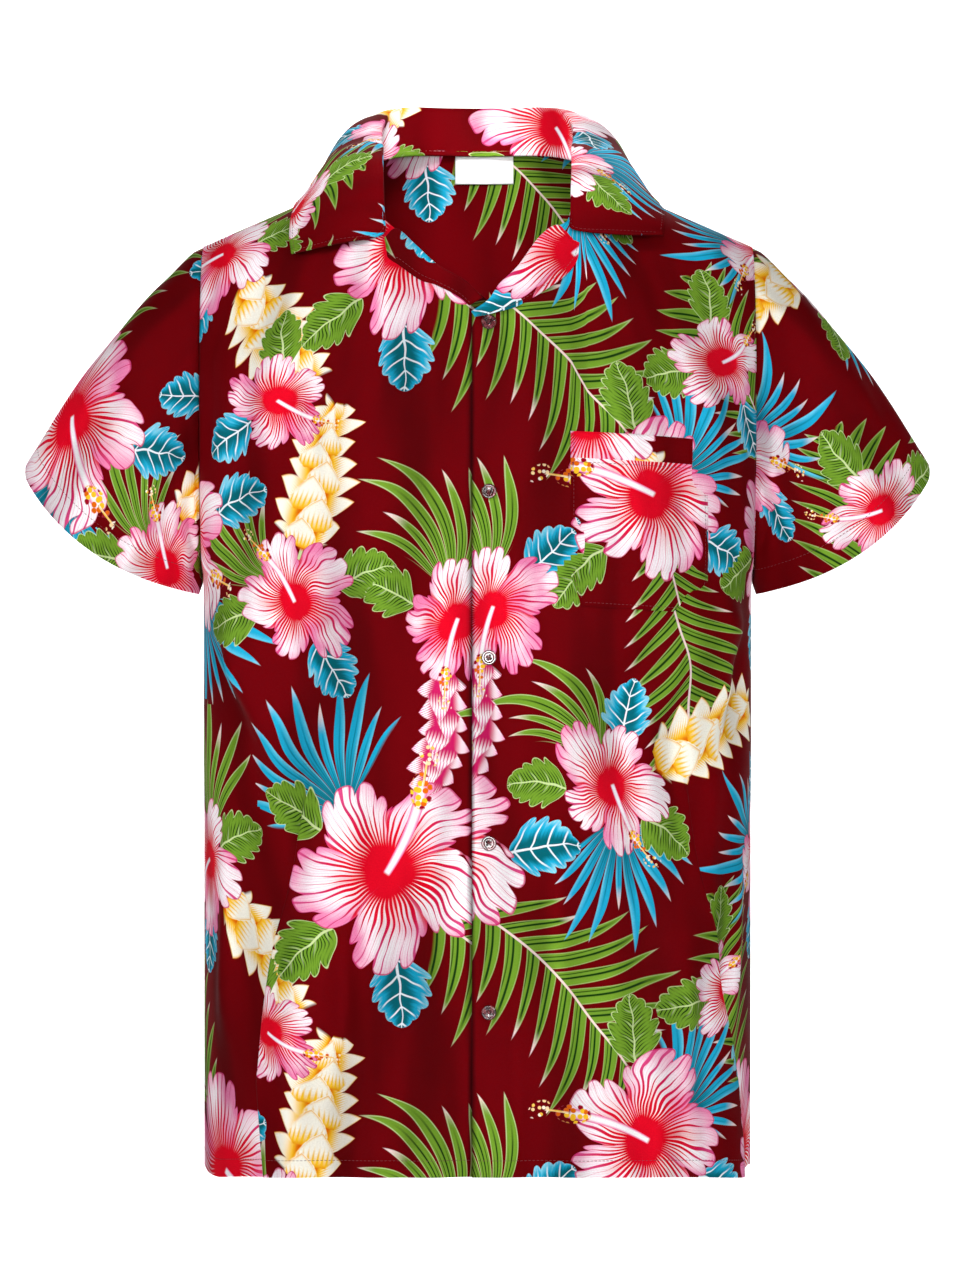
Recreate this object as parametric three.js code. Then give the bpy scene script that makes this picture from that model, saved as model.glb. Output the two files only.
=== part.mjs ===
import * as THREE from "three";

// A short-sleeved camp-collar shirt, buttoned, hollow and filled out as if worn.
// Millimetres, +Z up. The front faces -Y and the wearer's left is +X.
// Heights are worked out from the hem; the finished group is then lowered so that
// the origin lies midway between the two shoulder-neck points, where the shirt is held up.

// Cloth and seams
const wall = 2;                // thickness of every cloth wall
const laidWall = 1.5;          // the single layer of a lapel or pocket
const seamGap = 0.3;           // clear space between two pieces at a seam
const layGap = 0.5;            // clear space under a piece that lies on another

// Body
const halfWidth = 212;         // side seam and armhole seam, measured from the middle
const frontDepth = 146;        // how far the front stands forward of the side seams at the hem
const backDepth = 140;         // the same for the back
const waistHeight = 330;
const depthTaper = 17;         // both lose this much from the waist up to the neck
const sideRoundness = 2.5;     // superellipse power of the body's level sections
const chestFlare = 1.15;       // root that opens the section towards the sleeves above the armpit
const armpitHeight = 449;
const domeStart = 540;         // above this the front and back lean in to the shoulder seam
const domePower = 2.5;
const shoulderTip = { x: halfWidth, z: 702 };
const neckPoint = { x: 82, z: 770 };
const neckRise = { startX: 150, curve: 0.0028, levelX: 50 };   // the shoulder line sweeps up to the neck
const shoulderSlope = 0.423;
const armholeDepth = { front: 56, back: 60 };
const armholePower = 2.2;
const hemDrop = 20;            // the hem hangs this much lower at the side seams than in the middle
const hemDropTop = 240;        // the drop has faded out by this height

// Neck
const backNeckRise = 16;       // centre back neck seam above the shoulder-neck points
const backNeckPower = 4;       // the seam runs nearly level across the middle
const frontNeckPower = 1.3;    // the front neck seam drops slowly at first
const gorge = { x: 69, z: 712 };   // where collar, lapel and roll line meet in front

// Front closing: the wearer's left front lies on top
const buttonLine = 8.5;
const underTuck = wall + 0.6;  // the lower front is pressed in by this much at the overlap
const tuckStart = -34;         // the pressing in begins here and is full at tuckEnd
const tuckEnd = -9;

// Edge of the neck opening, from the overlap up to the gorge, for each front
const openingLeft = [
  { x: -4, z: 640 },
  { x: 8.5, z: 649 },
  { x: 17, z: 661 },
  { x: 31, z: 675 },
  { x: 47, z: 697.5 },
  { x: 60, z: 706.5 },
  { x: 69, z: 712 },
];
const openingRight = [
  { x: 20, z: 641 },
  { x: 8.5, z: 649 },
  { x: -10, z: 664 },
  { x: -29, z: 675 },
  { x: -45, z: 690 },
  { x: -60, z: 703.5 },
  { x: -69, z: 712 },
];

// Long soft folds low on the sides: the cloth behind the fold line lies deeper
const sideFolds = [
  { side: -1, start: waistHeight, topX: 120, hemX: 168, depth: 6 },
  { side: 1, start: waistHeight, topX: 152, hemX: 204, depth: 5 },
];
const foldSoftness = 24;       // width of the step down at the fold line
const foldFade = 0.45;         // the fold is at its full depth below this share of its height
const foldToSeam = 8;          // the cloth comes back out over this width at the side seam

// Sleeves: the rim's outer and inner ends in the X-Z plane, for the wearer's left
const rimOuter = { x: 353, z: 529 };
const rimInner = { x: 217.5, z: 433 };
const rimHalfDepth = 50;
const rimBow = 19;             // the rim's front and back hang below its ends by this much
const sleeveCrown = { out: 9.6, up: 7.2 };   // fullness over the top of the sleeve

// Collar stations, from the middle of the back round to the gorge on the +X side:
// the crest of the roll, a point halfway down the turned-down leaf, and its outer edge
const collarStations = [
  { seam: 0.0, roll: [0, 92, 822], leaf: [0, 108, 796], edge: [0, 112, 760] },
  { seam: 0.15, roll: [26, 90, 822], leaf: [33, 106, 797], edge: [35, 109, 759] },
  { seam: 0.3, roll: [51, 80, 821], leaf: [76, 92, 804], edge: [77, 97, 756] },
  { seam: 0.43, roll: [67, 59, 815], leaf: [99, 70, 801], edge: [105, 76, 751] },
  { seam: 0.55, roll: [74, 32, 802], leaf: [110, 41, 789], edge: [125, 43, 744] },
  { seam: 0.66, roll: [74, 4, 787], leaf: [113, 6, 774], edge: [134, 4, 739] },
  { seam: 0.7, roll: [73.5, -14, 782], leaf: [113.5, -14, 768], edge: [137, -14, 736] },
  { seam: 0.76, roll: [72, -36, 775], leaf: [112, -37, 757], edge: [139.5, -36, 729] },
  { seam: 0.8, roll: [71.5, -50, 768], leaf: [111, -52, 748], edge: [141, -50, 723] },
  { seam: 0.85, roll: [71, -65, 758], leaf: [110, -68, 736], edge: [142, -64, 715] },
  { seam: 0.93, roll: [70.5, -88, 738], leaf: [107, -90, 715], edge: [142, -78, 701] },
  { seam: 1.0, roll: [70, -105, 713], leaf: [105, -103, 694], edge: [140, -87, 688] },
];
const notch = { x: 72, y: -108, z: 700 };  // lowest inner corner of the leaf's front edge
const leftTipRise = 14;        // the wearer's left point sits this much higher
const crestLift = 4;           // the roll is this much fuller than a straight fall
const crestPlace = 0.35;       // the fullest point of the roll, as a share of the way to the leaf
const standSteps = [0, 0.4, 0.8];
const leafSteps = [0.12, 0.34, 0.56, 0.78, 1];
const standClear = 1.5;        // the stand starts this far up from the neck seam
const leafClear = 3.6;         // the leaf's middle surface stays this far off the body
const shoulderShare = 0.66;    // share of the neck seam, from the middle back, that lies on the back

// Outer edges of the turned-back lapels, matched with the opening's own rows
const lapelLeftEdge = [
  { x: -2, z: 636 },
  { x: 12, z: 639 },
  { x: 30, z: 645 },
  { x: 50, z: 657 },
  { x: 66, z: 669 },
  { x: 74, z: 680 },
  { x: 76, z: 694 },
];
const lapelRightEdge = [
  { x: -6, z: 645.5 },
  { x: -15, z: 653 },
  { x: -31, z: 661 },
  { x: -43, z: 665 },
  { x: -58, z: 676 },
  { x: -67, z: 683 },
  { x: -70, z: 694 },
];
const lapelRightEnd = { x: 3, z: 651 };    // the lower lapel stops short of the upper front
const lapelStop = 15;          // both lapels stop this far below the gorge, under the collar

// Pocket on the wearer's left chest
const pocket = {
  innerX: 69, outerX: 172, mouthZ: 552, mouthDrop: 5, height: 130, corner: 7, cornerStart: 0.8,
  gape: 4.5, gapeEnd: 0.35, outerLift: 0.8,
};

// Buttons
const buttonRadius = 5.6;
const buttonThickness = 2.4;
const buttonHeights = [633, 507, 384, 247, 122];
const buttonSides = 14;

// Woven label inside the back neck
const label = { centreX: 5.5, width: 47, topZ: 784, height: 23, thickness: 1, clear: 1.3 };

// Plain colours for each kind of piece
const maroon = 0x7d0010;
const darkHorn = 0x2a1a1a;
const labelWhite = 0xf4f2ee;
const plain = (color, roughness) => new THREE.MeshStandardMaterial({ color, roughness, metalness: 0 });
const clothMaterial = () => plain(maroon, 0.78);
const buttonMaterial = () => plain(darkHorn, 0.3);
const labelMaterial = () => plain(labelWhite, 0.6);

const clamp01 = (t) => Math.min(1, Math.max(0, t));
const smooth = (from, to, value) => {
  const t = clamp01((value - from) / (to - from));
  return t * t * (3 - 2 * t);
};
const mix = (a, b, t) => a + (b - a) * t;

// Straight-line reading of a table of { x, z } rows in rising or falling order of x
function readTable(rows, x) {
  const rising = rows[rows.length - 1].x > rows[0].x;
  const ordered = rising ? rows : [...rows].reverse();
  const last = ordered.length - 1;
  if (x <= ordered[0].x) return ordered[0].z;
  for (let i = 0; i < last; i += 1) {
    const a = ordered[i];
    const b = ordered[i + 1];
    if (x <= b.x) return mix(a.z, b.z, (x - a.x) / (b.x - a.x));
  }
  return ordered[last].z;
}

// Half depth of the armhole at a height
function armholeHalf(face, height) {
  const middle = (armpitHeight + shoulderTip.z) / 2;
  const reach = (shoulderTip.z - armpitHeight) / 2;
  const share = Math.abs(height - middle) / reach;
  if (share >= 1) return 0;
  const depth = face === "front" ? armholeDepth.front : armholeDepth.back;
  return depth * (1 - share ** armholePower) ** (1 / armholePower);
}

// Half depth of the body in the middle, before it leans in to the shoulder
function centreDepth(face, height) {
  const hemDepth = face === "front" ? frontDepth : backDepth;
  return hemDepth - depthTaper * smooth(waistHeight, neckPoint.z, height);
}

const domeRise = shoulderTip.z - domeStart;
const leanIn = (reduced) => {
  const share = clamp01((reduced - domeStart) / domeRise);
  return (1 - share ** domePower) ** (1 / domePower);
};

// Height of the back neck seam
const backNeckZ = (x) => neckPoint.z + backNeckRise * (1 - (Math.abs(x) / neckPoint.x) ** backNeckPower);

// Height of the shoulder line, carried on over the neck opening
function crownHeight(x) {
  const across = Math.max(Math.abs(x), neckRise.levelX);
  const sweep = Math.max(0, neckRise.startX - across);
  const line = shoulderTip.z + shoulderSlope * (shoulderTip.x - across) + neckRise.curve * sweep ** 2;
  const inward = neckRise.levelX - Math.min(Math.abs(x), neckRise.levelX);
  const slope = shoulderSlope + 2 * neckRise.curve * (neckRise.startX - neckRise.levelX);
  return line + slope * (inward - inward ** 2 / (2 * neckRise.levelX));
}

const reduceHeight = (x, z) =>
  (z <= domeStart ? z : domeStart + (z - domeStart) * domeRise / (crownHeight(x) - domeStart));
const restoreHeight = (x, reduced) => (reduced <= domeStart
  ? reduced : domeStart + (reduced - domeStart) * (crownHeight(x) - domeStart) / domeRise);

// How far the cloth sinks in behind the long side folds
function foldSink(x, z) {
  let sink = 0;
  for (const fold of sideFolds) {
    const line = mix(fold.hemX, fold.topX, clamp01(z / fold.start));
    const behind = smooth(line - foldSoftness / 2, line + foldSoftness / 2, fold.side * x);
    const fades = 1 - smooth(fold.start * foldFade, fold.start, z);
    const beforeSeam = 1 - smooth(halfWidth - foldToSeam, halfWidth, Math.abs(x));
    sink += fold.depth * behind * fades * beforeSeam;
  }
  return sink;
}

// Depth of the outer surface: y = -(armhole + (centre - armhole) * (1 - |x / halfWidth| ^ p) ^ (1 / q))
function surfaceY(face, x, reduced) {
  const z = restoreHeight(x, reduced);
  const edge = armholeHalf(face, reduced) + seamGap / 2;
  const middle = Math.max(edge, centreDepth(face, z) * leanIn(reduced));
  const root = mix(sideRoundness, chestFlare, smooth(armpitHeight, domeStart, reduced));
  const share = clamp01(1 - Math.min(1, Math.abs(x) / halfWidth) ** sideRoundness);
  const depth = edge + (middle - edge) * share ** (1 / root);
  return face === "front" ? -(depth - foldSink(x, z)) : depth;
}

const bodyPoint = (face, x, z) => new THREE.Vector3(x, surfaceY(face, x, reduceHeight(x, z)), z);

// Outward normal of the body where a piece lies on it
function bodyNormal(face, x, z) {
  const step = 1.5;
  const acrossX = bodyPoint(face, x + step, z).sub(bodyPoint(face, x - step, z));
  const upward = bodyPoint(face, x, z + step).sub(bodyPoint(face, x, z - step));
  const normal = acrossX.cross(upward).normalize();
  return face === "front" ? normal : normal.negate();
}

// Outward normals of a grid, from its own neighbouring points
function gridNormals(grid, outward, ring) {
  const lastRow = grid.length - 1;
  const lastColumn = grid[0].length - 1;
  return grid.map((row, j) => row.map((point, i) => {
    const left = ring ? row[(i + lastColumn) % (lastColumn + 1)] : row[Math.max(0, i - 1)];
    const right = ring ? row[(i + 1) % (lastColumn + 1)] : row[Math.min(lastColumn, i + 1)];
    const below = grid[Math.max(0, j - 1)][i];
    const above = grid[Math.min(lastRow, j + 1)][i];
    const normal = right.clone().sub(left).cross(above.clone().sub(below)).normalize();
    return outward > 0 ? normal : normal.negate();
  }));
}

const moved = (grid, normals, distance) =>
  grid.map((row, j) => row.map((point, i) => point.clone().addScaledVector(normals[j][i], distance)));

// A closed wall between an outer and an inner grid of points; ring joins the last column to the first
function wallGeometry(outer, inner, outward, ring) {
  const rows = outer.length;
  const columns = outer[0].length;
  const positions = [...outer.flat(), ...inner.flat()].flatMap((p) => [p.x, p.y, p.z]);
  const faces = [];
  const outerAt = (j, i) => j * columns + (i % columns);
  const innerAt = (j, i) => rows * columns + outerAt(j, i);
  const quad = (a, b, c, d) => faces.push(...(outward > 0 ? [a, b, c, a, c, d] : [a, c, b, a, d, c]));
  const spans = ring ? columns : columns - 1;
  for (let j = 0; j < rows - 1; j += 1) {
    for (let i = 0; i < spans; i += 1) {
      quad(outerAt(j, i), outerAt(j, i + 1), outerAt(j + 1, i + 1), outerAt(j + 1, i));
      quad(innerAt(j, i), innerAt(j + 1, i), innerAt(j + 1, i + 1), innerAt(j, i + 1));
    }
  }
  for (let i = 0; i < spans; i += 1) {
    quad(innerAt(0, i), innerAt(0, i + 1), outerAt(0, i + 1), outerAt(0, i));
    quad(outerAt(rows - 1, i), outerAt(rows - 1, i + 1), innerAt(rows - 1, i + 1), innerAt(rows - 1, i));
  }
  if (!ring) {
    for (let j = 0; j < rows - 1; j += 1) {
      quad(outerAt(j, 0), outerAt(j + 1, 0), innerAt(j + 1, 0), innerAt(j, 0));
      const last = columns - 1;
      quad(innerAt(j, last), innerAt(j + 1, last), outerAt(j + 1, last), outerAt(j, last));
    }
  }
  const geometry = new THREE.BufferGeometry();
  geometry.setAttribute("position", new THREE.Float32BufferAttribute(positions, 3));
  geometry.setIndex(faces);
  geometry.computeVertexNormals();
  return geometry;
}

function namedMesh(name, geometry, material) {
  const mesh = new THREE.Mesh(geometry, material);
  mesh.name = name;
  return mesh;
}

// Heights of the rows: plain below the dome, closer together over the shoulder
const lowerRows = [0, 60, 120, 180, 240, 300, 350, 400, armpitHeight, 476, 506, domeStart];
const domeRows = 9;

// Columns from the neck point out to the side, closer together where the section turns
function outerColumns() {
  const count = 8;
  const start = Math.asin((neckPoint.x / halfWidth) ** (sideRoundness / 2));
  const columns = [];
  for (let i = 1; i <= count; i += 1) {
    const angle = mix(start, Math.PI / 2, i / count);
    columns.push(halfWidth * Math.sin(angle) ** (2 / sideRoundness));
  }
  return columns;
}

// Height of a row near the hem, which follows the hem down towards the side seams
function hangingHeight(x, height) {
  const level = clamp01(1 - (Math.abs(x) / halfWidth) ** sideRoundness) ** (1 / sideRoundness);
  return height - hemDrop * (1 - level) * clamp01(1 - height / hemDropTop) ** 2;
}

// A front or back panel: columns of x, each running from the hem to its own top height
function panelGrid(face, columns, topHeight, press) {
  const rowCount = lowerRows.length + domeRows;
  const grid = [];
  for (let j = 0; j < rowCount; j += 1) {
    grid.push(columns.map((x) => {
      let reduced = hangingHeight(x, lowerRows[Math.min(j, lowerRows.length - 1)]);
      if (j >= lowerRows.length) {
        const top = clamp01((reduceHeight(x, topHeight(x)) - domeStart) / domeRise);
        const topAngle = Math.asin(top ** (domePower / 2));
        const angle = topAngle * (j - lowerRows.length + 1) / domeRows;
        reduced = domeStart + domeRise * Math.sin(angle) ** (2 / domePower);
      }
      const y = surfaceY(face, x, reduced) + press(x);
      return new THREE.Vector3(x, y, restoreHeight(x, reduced));
    }));
  }
  return grid;
}

// Seam edges share one direction, so that the two walls meet there with an even gap
function trueSeamNormals(grid, normals) {
  const lastRow = grid.length - 1;
  grid.forEach((row, j) => row.forEach((point, i) => {
    const side = Math.sign(point.x);
    const onSideSeam = Math.abs(point.x) > halfWidth - 0.01 && point.z <= armpitHeight + 0.01;
    const onShoulder = j === lastRow && Math.abs(point.x) >= neckPoint.x - 0.01;
    if (onSideSeam) normals[j][i].set(side, 0, 0);
    if (onShoulder) normals[j][i].set(side * shoulderSlope, 0, 1).normalize();
  }));
  return normals;
}

function panelMesh(name, face, columns, topHeight, press) {
  const grid = panelGrid(face, columns, topHeight, press);
  const outward = (face === "front" ? 1 : -1) * Math.sign(columns[columns.length - 1] - columns[0]);
  const normals = trueSeamNormals(grid, gridNormals(grid, outward, false));
  const inner = moved(grid, normals, -wall);
  return namedMesh(name, wallGeometry(grid, inner, outward, false), clothMaterial());
}

// Top height of a front: opening edge, then neck seam, then shoulder seam
function frontTop(opening, x) {
  const across = Math.abs(x);
  if (across <= gorge.x) return readTable(opening, x);
  if (across >= neckPoint.x) return crownHeight(x);
  const inward = (neckPoint.x - across) / (neckPoint.x - gorge.x);
  return neckPoint.z - (neckPoint.z - gorge.z) * inward ** frontNeckPower;
}

const neckColumns = [73, 77, 80, neckPoint.x];
const tuckUnder = (x) => underTuck * smooth(tuckStart, tuckEnd, x);

function makeFronts() {
  const outer = outerColumns();
  const leftColumns = [...openingLeft.map((row) => row.x), ...neckColumns, ...outer];
  const rightColumns = [...openingRight.map((row) => row.x), ...[...neckColumns, ...outer].map((x) => -x)];
  return [
    panelMesh("front_left", "front", leftColumns, (x) => frontTop(openingLeft, x), () => 0),
    panelMesh("front_right", "front", rightColumns, (x) => frontTop(openingRight, x), tuckUnder),
  ];
}

function makeBack() {
  const half = [18, 36, 52, 64, 73, 79, neckPoint.x, ...outerColumns()];
  const columns = [...[...half].reverse().map((x) => -x), 0, ...half];
  return panelMesh("back", "back", columns, backTop, () => 0);
}

// Sleeve: the armhole's ring carried out to the rim's ring
function sleevePoint(side, turn, along) {
  const rise = Math.cos(turn);
  const forward = Math.sin(turn);
  const power = (value) => Math.sign(value) * Math.abs(value) ** (2 / armholePower);
  const depth = forward > 0 ? armholeDepth.front : armholeDepth.back;
  const middle = (armpitHeight + shoulderTip.z) / 2;
  const reach = (shoulderTip.z - armpitHeight) / 2;
  const start = new THREE.Vector3(halfWidth + seamGap, -depth * power(forward), middle + reach * power(rise));
  const chord = new THREE.Vector3(rimOuter.x - rimInner.x, 0, rimOuter.z - rimInner.z).multiplyScalar(0.5);
  const axis = new THREE.Vector3(chord.z, 0, -chord.x).normalize();
  const end = new THREE.Vector3((rimOuter.x + rimInner.x) / 2, 0, (rimOuter.z + rimInner.z) / 2);
  end.y = -rimHalfDepth * forward;
  end.addScaledVector(chord, rise);
  end.addScaledVector(axis, rimBow * forward * forward);
  const point = start.lerp(end, along);
  const fullness = Math.sin(Math.PI * along) * Math.max(0, rise);
  point.x += sleeveCrown.out * fullness;
  point.z += sleeveCrown.up * fullness;
  point.x *= side;
  return point;
}

function makeSleeve(name, side) {
  const turns = 28;
  const steps = 8;
  const grid = [];
  for (let j = 0; j <= steps; j += 1) {
    const row = [];
    for (let i = 0; i < turns; i += 1) row.push(sleevePoint(side, (2 * Math.PI * i) / turns, j / steps));
    grid.push(row);
  }
  const normals = gridNormals(grid, side, true);
  normals[0].forEach((normal) => {
    normal.x = 0;
    normal.normalize();
  });
  return namedMesh(name, wallGeometry(grid, moved(grid, normals, -wall), side, true), clothMaterial());
}

// Neck seam from the middle of the back (0) by the shoulder-neck point to the gorge (1)
function neckSeam(share) {
  const justBelow = 0.01;
  if (share <= shoulderShare) {
    const x = neckPoint.x * Math.sin((share / shoulderShare) * Math.PI / 2);
    return bodyPoint("back", x, backNeckZ(x) - justBelow);
  }
  const t = (share - shoulderShare) / (1 - shoulderShare);
  const x = mix(neckPoint.x, gorge.x, t ** 1.4);
  return bodyPoint("front", x, frontTop(openingLeft, x) - justBelow);
}

const backTop = (x) => (Math.abs(x) < neckPoint.x ? backNeckZ(x) : crownHeight(x));

// Points spread over the upper body, used to hold the collar's leaf clear of it
function bodySamples() {
  const count = 60;
  const innerX = 40;
  const lowest = 620;
  const samples = [];
  for (const face of ["front", "back"]) {
    for (let i = 0; i <= count; i += 1) {
      const x = mix(innerX, halfWidth - 2, i / count);
      const top = face === "front" ? frontTop(openingLeft, x) : Math.min(backTop(x), crownHeight(x));
      for (let j = 0; j <= count; j += 1) {
        const z = mix(lowest, top - 0.5, j / count);
        samples.push({ point: bodyPoint(face, x, z), normal: bodyNormal(face, x, Math.min(z, top - 2)) });
      }
    }
  }
  return samples;
}

// Moves a point out until it stands the given distance off the nearest part of the body
function heldClear(point, distance, samples) {
  const mirrored = point.clone();
  mirrored.x = Math.abs(point.x);
  let nearest = samples[0];
  let best = Infinity;
  for (const sample of samples) {
    const apart = sample.point.distanceToSquared(mirrored);
    if (apart < best) {
      best = apart;
      nearest = sample;
    }
  }
  const height = mirrored.clone().sub(nearest.point).dot(nearest.normal);
  if (height < distance) mirrored.addScaledVector(nearest.normal, distance - height);
  return new THREE.Vector3(Math.sign(point.x || 1) * mirrored.x, mirrored.y, mirrored.z);
}

// One column of the collar: up the stand from the neck seam, over the roll, down the leaf
function collarColumn(station, side, samples) {
  const seam = neckSeam(station.seam);
  const roll = new THREE.Vector3(...station.roll);
  const leaf = new THREE.Vector3(...station.leaf);
  const edge = new THREE.Vector3(...station.edge);
  const tipRise = side > 0 ? leftTipRise * smooth(0.7, 1, station.seam) : 0;
  leaf.z += tipRise / 2;
  edge.z += tipRise;
  const base = seam.clone().add(roll.clone().sub(seam).normalize().multiplyScalar(standClear));
  const crest = roll.clone().lerp(leaf, crestPlace).add(new THREE.Vector3(0, 0, crestLift));
  const corner = new THREE.Vector3(notch.x, notch.y, notch.z + tipRise * 0.3);
  crest.lerp(corner, smooth(0.93, 1, station.seam));
  const fall = new THREE.CatmullRomCurve3([roll, crest, leaf, edge]);
  const column = standSteps.map((t) => base.clone().lerp(roll, t));
  column.push(roll.clone());
  for (const t of leafSteps) column.push(heldClear(fall.getPoint(t), leafClear, samples));
  column.forEach((point) => { point.x *= side; });
  return column;
}

function makeCollar() {
  const samples = bodySamples();
  const left = collarStations.map((station) => collarColumn(station, 1, samples));
  const right = collarStations.slice(1).map((station) => collarColumn(station, -1, samples));
  const columns = [...right.reverse(), ...left];
  const rows = columns[0].map((_, j) => columns.map((column) => column[j]));
  const normals = gridNormals(rows, -1, false);
  const outer = moved(rows, normals, -wall / 2);
  const inner = moved(rows, normals, wall / 2);
  return namedMesh("collar", wallGeometry(outer, inner, 1, false), clothMaterial());
}

// A piece laid on the front: rows of (x, z) points, moved out along the body's normal
function laidMesh(name, rows, outward, lift, press) {
  const place = (point, height) => {
    const base = bodyPoint("front", point.x, point.z);
    base.y += press(point.x);
    return base.addScaledVector(bodyNormal("front", point.x, point.z), height + lift(point));
  };
  const inner = rows.map((row) => row.map((point) => place(point, layGap)));
  const outer = rows.map((row) => row.map((point) => place(point, layGap + laidWall)));
  return namedMesh(name, wallGeometry(outer, inner, outward, false), clothMaterial());
}

// The upper lapel rides over the top button
const buttonHump = { height: 3.7, flatRadius: 9, endRadius: 26 };
function overButton(point) {
  const apart = Math.hypot(point.x - buttonLine, point.z - buttonHeights[0]);
  const near = 1 - smooth(buttonHump.flatRadius, buttonHump.endRadius, apart);
  return buttonHump.height * near * smooth(0, 0.5, point.across);
}

function lapelRows(opening, edge, steps) {
  const rows = [];
  for (let j = 0; j <= steps; j += 1) {
    rows.push(opening.map((inner, i) => ({
      x: mix(inner.x, edge[i].x, j / steps),
      z: mix(inner.z, edge[i].z, j / steps),
      across: j / steps,
    })));
  }
  return rows;
}

function makeLapels() {
  const inset = 0.6;
  const leftOpening = openingLeft.map((row) => ({ x: row.x + inset, z: row.z - inset }));
  const rightOpening = openingRight.slice(1).map((row) => ({ x: row.x - inset, z: row.z - inset }));
  rightOpening[0] = { x: lapelRightEnd.x, z: lapelRightEnd.z };
  leftOpening[leftOpening.length - 1].z = gorge.z - lapelStop;
  rightOpening[rightOpening.length - 1].z = gorge.z - lapelStop;
  const rightEdge = lapelRightEdge.slice(0, rightOpening.length);
  return [
    laidMesh("lapel_left", lapelRows(leftOpening, lapelLeftEdge, 4), -1, overButton, () => 0),
    laidMesh("lapel_right", lapelRows(rightOpening, rightEdge, 3), 1, () => 0, tuckUnder),
  ];
}

function makePocket() {
  const columns = 9;
  const rows = 9;
  const grid = [];
  for (let j = 0; j < rows; j += 1) {
    const down = j / (rows - 1);
    const pinch = pocket.corner * smooth(pocket.cornerStart, 1, down);
    const row = [];
    for (let i = 0; i < columns; i += 1) {
      const across = i / (columns - 1);
      const x = mix(pocket.innerX + pinch, pocket.outerX - pinch, across);
      const z = pocket.mouthZ - pocket.mouthDrop * across - pocket.height * down;
      row.push({ x, z, across, down });
    }
    grid.push(row);
  }
  const lift = (point) => pocket.outerLift * point.across ** 2
    + pocket.gape * Math.sin(Math.PI * point.across) * (1 - smooth(0, pocket.gapeEnd, point.down));
  return laidMesh("pocket", grid, -1, lift, () => 0);
}

function makeLabel() {
  const rows = [0, 1].map((down) => [0, 0.5, 1].map((across) => {
    const x = label.centreX + label.width * (across - 0.5);
    const z = label.topZ - label.height * down;
    const base = bodyPoint("back", x, Math.min(z, backNeckZ(x) - 1));
    return base.addScaledVector(bodyNormal("back", x, Math.min(z, backNeckZ(x) - 2)), -wall - label.clear);
  }));
  const normals = rows.map((row) => row.map(() => new THREE.Vector3(0, -1, -0.4).normalize()));
  const front = moved(rows, normals, label.thickness);
  return namedMesh("label", wallGeometry(front, rows, -1, false), labelMaterial());
}

// A dished button with a raised rim
function buttonGeometry() {
  const half = buttonThickness / 2;
  const profile = [
    new THREE.Vector2(0, -half),
    new THREE.Vector2(buttonRadius * 0.8, -half),
    new THREE.Vector2(buttonRadius, -half * 0.2),
    new THREE.Vector2(buttonRadius * 0.93, half * 0.8),
    new THREE.Vector2(buttonRadius * 0.78, half),
    new THREE.Vector2(buttonRadius * 0.6, half * 0.5),
    new THREE.Vector2(0, half * 0.4),
  ];
  return new THREE.LatheGeometry(profile, buttonSides);
}

function makeButtons() {
  return buttonHeights.map((z, i) => {
    const mesh = namedMesh(`button_${i + 1}`, buttonGeometry(), buttonMaterial());
    const normal = bodyNormal("front", buttonLine, z);
    mesh.position.copy(bodyPoint("front", buttonLine, z));
    mesh.position.addScaledVector(normal, layGap + buttonThickness / 2);
    mesh.quaternion.setFromUnitVectors(new THREE.Vector3(0, 1, 0), normal);
    return mesh;
  });
}

const group = new THREE.Group();
group.add(...makeFronts());
group.add(makeBack());
group.add(makeSleeve("sleeve_left", 1));
group.add(makeSleeve("sleeve_right", -1));
group.add(makeCollar());
group.add(...makeLapels());
group.add(makePocket());
group.add(makeLabel());
group.add(...makeButtons());
group.position.z = -neckPoint.z;
export default group;
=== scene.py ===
import math

import bmesh
import bpy
import numpy as np
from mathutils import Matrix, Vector


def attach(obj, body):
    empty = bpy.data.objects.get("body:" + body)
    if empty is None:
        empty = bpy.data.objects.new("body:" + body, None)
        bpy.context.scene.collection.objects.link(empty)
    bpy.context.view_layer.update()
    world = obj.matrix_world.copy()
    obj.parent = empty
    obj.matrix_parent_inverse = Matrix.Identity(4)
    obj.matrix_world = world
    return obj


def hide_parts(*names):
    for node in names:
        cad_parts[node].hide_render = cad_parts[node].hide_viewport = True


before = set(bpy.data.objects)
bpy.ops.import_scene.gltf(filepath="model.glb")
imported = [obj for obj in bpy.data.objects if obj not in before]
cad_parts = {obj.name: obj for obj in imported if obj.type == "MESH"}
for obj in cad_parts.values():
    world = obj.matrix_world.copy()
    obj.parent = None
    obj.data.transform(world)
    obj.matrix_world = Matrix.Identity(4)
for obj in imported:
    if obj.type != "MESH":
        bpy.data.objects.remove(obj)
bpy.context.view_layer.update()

# Shapes are worked out in millimetres above the hem, front towards -Y, and put into the frame by placed().
neckHeight = 770.0


def placed(points):
    # millimetres above the hem to metres in the frame, whose origin lies between the shoulder-neck points
    return (np.asarray(points, float) - (0.0, 0.0, neckHeight)) / 1000.0


def smooth(start, end, value):
    # 0 up to start, 1 from end, and 3 t^2 - 2 t^3 between them
    t = np.clip((value - start) / (end - start), 0.0, 1.0)
    return t * t * (3.0 - 2.0 * t)


def mix(a, b, t):
    return a + (b - a) * t


def unit(vectors):
    return vectors / np.maximum(np.linalg.norm(vectors, axis=-1, keepdims=True), 1e-9)


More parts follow.
